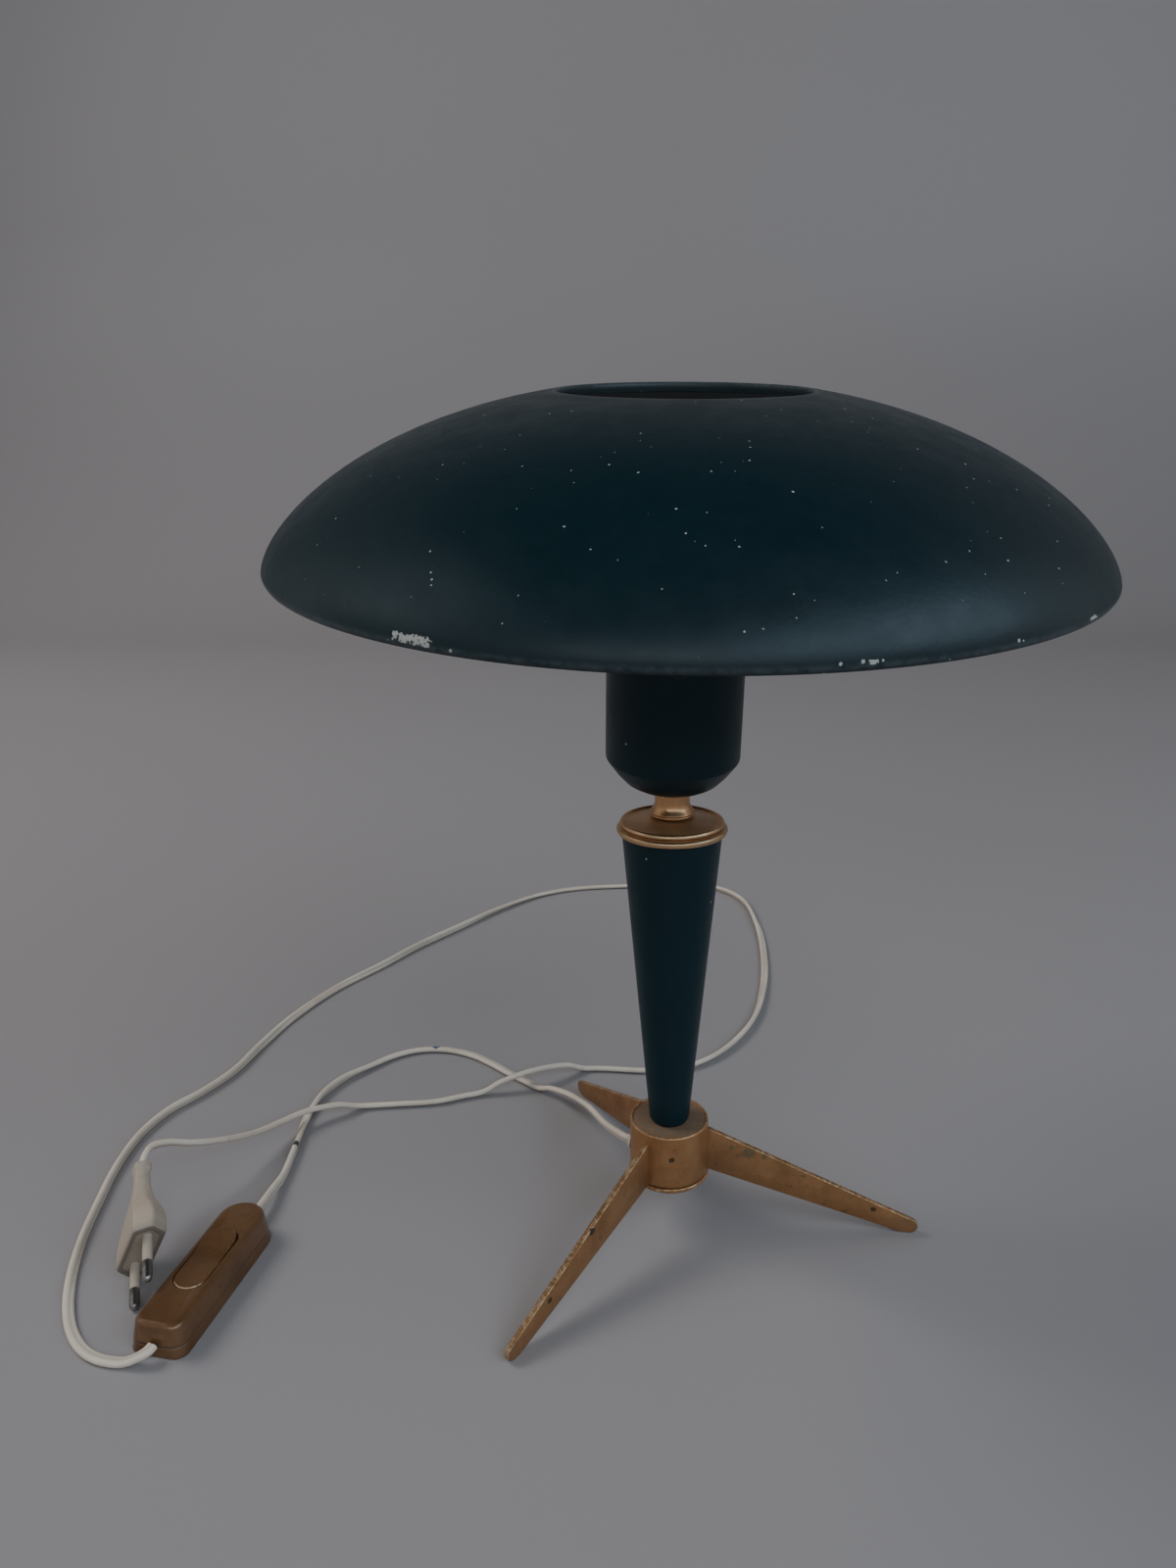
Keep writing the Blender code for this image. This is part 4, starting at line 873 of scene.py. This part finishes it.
def shade_wear(p):
    """Worn along the brim's edge and round the mouth."""
    out = p.xy.length
    brim = smooth_step(SHADE_R - 0.6, SHADE_R - 0.05, out)
    brim *= smooth_step(WIDE_Z + 1.4, WIDE_Z - 0.2, p.z)
    mouth = smooth_step(MOUTH_R + 0.3, MOUTH_R - 0.4, out)
    return brim + 0.95 * mouth * smooth_step(TOP_Z - 1.2, TOP_Z - 0.3, p.z)


shade = lathe("dome_shade", flowing([
    (MOUTH_R - 1.6, TOP_Z - 3.6), (MOUTH_R - 1.6, TOP_Z - 1.6), (MOUTH_R - 1.2, TOP_Z - 0.4),
    (MOUTH_R - 0.5, TOP_Z - 0.05),
], 4) + dome(72) + flowing([
    (SHADE_R - 0.1, WIDE_Z - 0.5), (SHADE_R - 0.45, WIDE_Z - 1.05),
    (SHADE_R - 1.3, WIDE_Z - 1.45), (SHADE_R - 7.2, WIDE_Z - 1.5),
], 4), shade_paint, 224, closed=False, wear=shade_wear)
sheet = shade.modifiers.new("sheet", "SOLIDIFY")
sheet.thickness = 0.9 * MM
sheet.offset = -1.0
sheet.use_even_offset = True
finish_piece(shade, "head", "shade", LEAN)

cup = lathe("holder_cup", rounded([
    (25.15, 251.1), (25.65, 251.5, 0.3), (26.15, 251.1, 0.3), (26.15, 240.0), (26.15, 225.0),
    (26.15, 209.9, 2.2), (22.1, 204.2, 3.0), (18.8, 200.5, 3.0), (15.2, 198.4, 2.6),
    (11.6, 197.8, 1.2), (10.0, 197.8, 0.3), (10.0, 198.8, 0.3), (11.5, 198.8), (14.6, 199.3),
    (17.9, 201.1), (24.9, 210.0), (25.15, 211.0),
], 6), lacquer("petrol_lacquer_cup", chips=(((-0.0175, -0.0195, 0.2215), 0.0004),)), 144)
finish_piece(cup, "head", "cup", LEAN)


# -------- inline switch

switch_gold = gold(
    "switch_gold_plastic", (0.205, 0.100, 0.041), (0.140, 0.064, 0.024), 0.5, 0.32, clean=0.3,
    coat=0.6,
)
SWITCH_HALF_WIDE, SWITCH_HALF_LONG = 12.0, 38.25
OUTLINE_POINTS = 96
ROCKER_AXIS_Z = 10.5


def rounded_outline(half, far, corner):
    """Switch plan at equal steps along its edge, from the middle of its half-round end."""
    dense = arc(0.0, far - half, half, 90, 180, 64)
    dense += arc(corner - half, corner - far, corner, 180, 270, 32)
    dense += arc(half - corner, corner - far, corner, 270, 360, 32)
    return evenly(dense + arc(0.0, far - half, half, 0, 90, 64), OUTLINE_POINTS)


def stadium(length, width):
    """An oval with half-round ends, from the same starting point."""
    half, middle = width / 2, length / 2 - width / 2
    dense = []
    for centre, start in ((middle, 90), (-middle, 180), (-middle, 270), (middle, 0)):
        dense += arc(0.0, centre, half, start, start + 90, 32)
    return evenly(dense, OUTLINE_POINTS)


def flat_ring(outline, z, share_x=1.0, share_y=1.0):
    return [Vector((p.x * share_x, p.y * share_y, z)) * MM for p in outline]


def switch_ring(inset, z):
    half, far = SWITCH_HALF_WIDE - inset, SWITCH_HALF_LONG - inset
    return flat_ring(rounded_outline(half, far, 5.2 - 0.5 * inset), z)


def draft(z):
    """How far the housing's side leans in at a height."""
    return 2.4 * z / SWITCH_TALL


def housing_wear(p):
    """Worn along the top's rounded edge, away from its middle."""
    edge = smooth_step(11.4, 12.8, p.z) * smooth_step(13.58, 13.2, p.z)
    return 0.32 * edge * smooth_step(8.0, 9.4, abs(p.x) + max(0.0, abs(p.y) - 26))


def housing_dirt_and_window_shade(p):
    """Grime in the line between the halves, and painted shade down the walls round the rocker."""
    in_window = abs(p.x) < 7.4 and abs(p.y) < 18
    return 0.8 * bell(p.z, 4.6, 0.35) + 0.5 * smooth_step(12.5, 9.0, p.z) * in_window


def make_switch():
    low = [switch_ring(2.4, 0.0), switch_ring(0.75, 0.0), switch_ring(0.35, 0.12)]
    low.append(switch_ring(0.22, 0.5))
    low += [switch_ring(0.2 + draft(z), z) for z in (1.5, 2.6, 3.6, 4.2)]
    low += [switch_ring(0.32 + draft(4.4), 4.42), switch_ring(2.2, 4.45)]
    high = [switch_ring(2.2, 4.75), switch_ring(0.12 + draft(4.7), 4.77)]
    high.append(switch_ring(draft(5.0), 4.95))
    high += [switch_ring(draft(z), z) for z in (5.6, 7.0, 8.4, 9.8, 10.9)]
    for i in range(1, 9):
        a = math.pi / 2 * i / 8
        inset = draft(10.9) + 2.55 * (1 - math.cos(a))
        high.append(switch_ring(inset, 10.9 + 2.7 * math.sin(a)))
    window = stadium(35.1, 14.3)
    high.append(flat_ring(window, SWITCH_TALL, 1.04, 1.02))
    high.append(flat_ring(window, 13.56, 1.02, 1.02))
    high += [flat_ring(window, z) for z in (13.35, 12.0, 8.0, 6.4)]
    for name, rings, node in (
        ("switch_lower_half", low, "switch_base"), ("switch_upper_half", high, "switch_cover"),
    ):
        ob = loft(name, rings, switch_gold)
        grade(ob.data, "wear", housing_wear)
        grade(ob.data, "dirt_and_shade", housing_dirt_and_window_shade)
        finish_piece(ob, "stand", node, SWITCH_PLACE)


def rocker_top(y):
    """Height of the rocker's top over its axis: two flats that dip to the middle."""
    return 3.1 + abs(y) * math.tan(ROCKER_DIP)


def rocker_highlight_and_wear(p):
    """A painted highlight along the near end's top edge, and a little wear down the long edges."""
    below_top = rocker_top(p.y) - p.z
    edge = smooth_step(0.50, 0.30, below_top) * smooth_step(0.0, 0.06, below_top)
    near_end = smooth_step(13.6, 15.0, -p.y)
    return max(2.0 * edge * near_end, 0.5 * edge)


def make_rocker():
    """Oval rocker; its local origin is on its axis."""
    half_x, half_y, fillet = 6.7, 17.1, 0.55
    outline = stadium(2 * half_y, 2 * half_x)
    rings = [
        flat_ring(outline, z, 1 - inset / half_x, 1 - inset / half_y)
        for inset, z in ((0.55, -1.9), (0.15, -2.3), (0.0, -1.9), (0.0, 0.0), (0.0, 1.8))
    ]
    for i in range(7):
        a = math.pi / 2 * i / 6
        inset = fillet * (1 - math.cos(a))
        rings.append([Vector((
            p.x * (1 - inset / half_x), p.y * (1 - inset / half_y),
            rocker_top(p.y) - fillet + fillet * math.sin(a),
        )) * MM for p in outline])
    for share in (0.85, 0.7, 0.5, 0.3, 0.12, 0.0):
        ring = []
        for p in outline:
            spine = max(-10.4, min(10.4, p.y))
            y = spine + (p.y - spine) * share
            ring.append(Vector((p.x * share, y, rocker_top(y))) * MM)
        rings.append(ring)
    ob = loft("switch_rocker_key", rings, switch_gold, (True, False))
    grade(ob.data, "wear", rocker_highlight_and_wear)
    # The rocker's sides darken down into the window: painted shade.
    grade(ob.data, "dirt_and_shade", lambda p: 0.3 * smooth_step(2.8, 1.0, p.z))
    weld(ob.data, 0.01 * MM)
    ob.data.shade_smooth()
    ob.data.set_sharp_from_angle(angle=math.radians(30))
    return ob


make_switch()
finish_piece(
    make_rocker(), "rocker", "switch_rocker",
    SWITCH_PLACE @ Matrix.Translation((0.0, 0.0, ROCKER_AXIS_Z * MM))
    @ Matrix.Rotation(ROCKER_DIP, 4, "X"),
)


# -------- plug

def plug_section(wide, flat, tall):
    """Six-sided section with rounded corners."""
    soft, count = 1.3, 9
    corners = [(wide, 0), (flat, tall), (-flat, tall), (-wide, 0), (-flat, -tall), (flat, -tall)]
    points = []
    for i in range(6):
        p, a, b = Vector(corners[i]), Vector(corners[i - 1]), Vector(corners[(i + 1) % 6])
        start = p + (a - p).normalized() * min(soft, 0.42 * (a - p).length)
        end = p + (b - p).normalized() * min(soft, 0.42 * (b - p).length)
        for k in range(count):
            t = k / (count - 1)
            points.append((1 - t) ** 2 * start + 2 * t * (1 - t) * p + t * t * end)
    return points


def make_plug_body():
    """A flat moulding that narrows to its flex; a station is (behind, wide, flat, tall)."""
    stations = [
        (0.0, 16.0, 12.0, 5.4), (0.25, 16.8, 12.7, 6.1), (1.0, 17.2, 13.0, 6.5),
        (6.0, 17.4, 13.2, 6.6), (9.0, 16.8, 12.7, 6.5), (12.0, 15.2, 11.4, 6.25),
        (15.5, 12.4, 9.3, 5.8), (19.0, 9.4, 7.0, 5.2), (22.5, 6.8, 5.0, 4.5),
        (26.0, 4.9, 3.6, 3.9), (30.0, 3.8, 2.8, 3.35), (34.0, 3.5, 2.5, 3.1),
        (37.4, 3.6, 2.6, 3.15), (38.3, 3.8, 2.8, 3.25), (39.0, 4.4, 3.2, 3.55),
        (40.0, 4.5, 3.3, 3.6), (41.4, 4.4, 3.2, 3.5), (41.9, 4.1, 2.9, 3.2),
        (42.0, 3.4, 2.4, 2.6),
    ]
    steps = []
    for here, ahead in zip(stations, stations[1:]):
        steps += [[a + (b - a) * t / 3 for a, b in zip(here, ahead)] for t in range(3)]
    steps.append(stations[-1])
    rings = [
        [Vector((-behind, y, z)) * MM for y, z in plug_section(wide, flat, tall)]
        for behind, wide, flat, tall in steps
    ]
    face = [
        [Vector((-recess * MM, p.y * share, p.z * share)) for p in rings[0]]
        for recess, share in ((0.9, 0.86), (0.15, 0.90))
    ]
    return loft("plug_moulding", face + rings, vinyl("ivory_plug_vinyl", True), sharp=32.0)


plug = make_plug_body()
finish_piece(plug, "stand", "plug_body", PLUG_PLACE)
pin_metal = metal("pin_nickel", (0.46, 0.43, 0.40), (0.28, 0.255, 0.23), 0.30, 0.48)
for k, side in ((1, -1), (2, 1)):
    root = (
        PLUG_PLACE @ Matrix.Translation((0.0, side * 0.0093, 0.0))
        @ Matrix.Rotation(-side * math.radians(0.9), 4, "Z") @ Matrix.Rotation(math.pi / 2, 4, "Y")
    )
    pin = lathe(f"plug_pin_round_{k}", arc(0.0, 17.0, 2.0, 90, 0, 9) + [
        (2.0, 13.5), (2.0, 10.45), (1.9, 10.3), (1.4, 10.3), (1.4, -11.0), (0.0, -11.0),
    ], pin_metal, 40, closed=False)
    finish_piece(pin, "stand", f"plug_pin_{k}", root)
    sleeve = lathe(f"plug_pin_sleeve_{k}", rounded([
        (1.62, 10.1), (1.95, 10.1, 0.15), (1.95, 5.0), (1.95, -10.8), (1.62, -10.8), (1.62, 10.1),
    ]), vinyl(f"ivory_sleeve_{k}"), 40)
    finish_piece(sleeve, "stand", f"pin_sleeve_{k}", root)


# -------- carried-over parts

screw_paint = moulded(
    "painted_screw", (0.0016, 0.0080, 0.0105), (0.0010, 0.0060, 0.0080), 0.6, 0.75, pale=0.004,
)
steel = metal("zinc_plate", (0.47, 0.46, 0.43), (0.30, 0.29, 0.27), 0.28, 0.48, made_here=False)
brass_inner = metal(
    "contact_brass", (0.55, 0.34, 0.15), (0.36, 0.20, 0.08), 0.25, 0.45, made_here=False,
)
bakelite = moulded(
    "black_phenolic", (0.020, 0.015, 0.012), (0.010, 0.008, 0.007), 0.25, 0.42, 0.0012, 0.2,
)
ceramic = moulded("white_ceramic", (0.78, 0.76, 0.71), (0.68, 0.66, 0.60), 0.22, 0.36, 0.0010, 0.2)
nylon = moulded("white_nylon", (0.70, 0.68, 0.62), (0.60, 0.58, 0.52), 0.42, 0.58)
opal = moulded("opal_glass_bulb", (0.86, 0.84, 0.79), (0.80, 0.78, 0.73), 0.10, 0.20, 0.0060, 0.3)
lead = flex_paint("inner_lead_sheath", made_here=False)
by_slot = {
    "steel": steel, "brass": brass_inner, "phenolic": bakelite, "ceramic": ceramic,
    "nylon": nylon, "opal_glass": opal, "ivory_flex": lead, "ivory_vinyl": lead,
    "gold_paint": hub_paint, "petrol_lacquer": bakelite, "switch_plastic": switch_gold,
}
for row in frame["record"]["subparts"]:
    node = nodes[row["node"]]
    if node.hide_render:
        continue
    node.data.materials.clear()
    dark = row["node"].startswith("spider_screw")
    node.data.materials.append(screw_paint if dark else by_slot[row["material_slot"]])


# -------- stage

def floor_paint():
    paint = Paint("pale_floor")
    cloud = paint.noise(0.30, 4.0, 0.6)
    speck = paint.noise(0.0016, 2.0, 0.5)
    body = paint.mix(cloud, (0.285, 0.264, 0.266), (0.303, 0.282, 0.284))
    body = paint.mix(paint.span(speck, 0.62, 0.72, 0.0, 0.3), body, (0.245, 0.227, 0.229))
    paint.colour(body)
    paint.roughness(paint.span(paint.noise(0.02, 4.0, 0.6), 0.3, 0.7, 0.42, 0.52))
    return paint.material


def make_floor():
    """A floor that sweeps up into a wall behind the lamp."""
    shape = bmesh.new()
    run = [(-2.6, 0.0), (-1.0, 0.0), (0.0, 0.0), (1.6, 0.0), *arc(1.6, 0.9, 0.9, -84, 0, 14)]
    run += [(2.5, 1.8), (2.5, 3.2)]
    rows = [[shape.verts.new((x, y, z)) for x in (-4.0, -1.0, 1.0, 4.0)] for y, z in run]
    for a, b in zip(rows, rows[1:]):
        for i in range(3):
            shape.faces.new((a[i], a[i + 1], b[i + 1], b[i]))
    mesh = bpy.data.meshes.new("floor")
    shape.to_mesh(mesh)
    shape.free()
    return new_piece("floor", mesh, floor_paint(), 60.0)


make_floor()


def soft_light(name, place, size, power, colour, glossy=True):
    """A rectangular light that points at the lamp's middle."""
    data = bpy.data.lights.new(name, "AREA")
    data.shape = "RECTANGLE"
    data.size, data.size_y = size
    data.energy = power
    data.color = colour
    ob = bpy.data.objects.new(name, data)
    scene.collection.objects.link(ob)
    way = (Vector((0.0, 0.0, 0.22)) - Vector(place)).normalized()
    ob.matrix_world = Matrix.Translation(place) @ way.to_track_quat("-Z", "Y").to_matrix().to_4x4()
    ob.visible_glossy = glossy


soft_light("front_window", (1.75, -1.25, 1.65), (3.0, 1.1), 29.0, (0.58, 0.80, 1.0))
soft_light("front_wall_light", (-0.20, -2.1, 1.25), (1.8, 0.5), 6.5, (0.72, 0.88, 1.0))
soft_light("left_window", (-2.0, 0.5, 2.0), (1.2, 1.2), 34.0, (1.0, 0.98, 0.95), False)
soft_light("left_wall_light", (-2.1, -0.5, 2.0), (1.6, 1.6), 6.0, (0.90, 0.96, 1.0))
soft_light("room_fill", (0.9, -1.6, 2.6), (2.2, 2.2), 22.0, (1.0, 0.985, 0.965), False)


def pale_room():
    """A world that is pale towards the horizon, like walls, and dim overhead."""
    world = scene.world or bpy.data.worlds.new("world")
    scene.world = world
    world.use_nodes = True
    room = Nodes(world.node_tree)
    way = room.node("TexCoord").outputs["Generated"]
    rise = room.node("SeparateXYZ", {0: way}).outputs["Z"]
    tone = room.mix(room.span(rise, 0.32, 0.84), (0.36, 0.365, 0.37), (0.030, 0.034, 0.040))
    sky = world.node_tree.nodes["Background"]
    room.put(sky.inputs["Color"], tone)
    sky.inputs["Strength"].default_value = 1.0


pale_room()
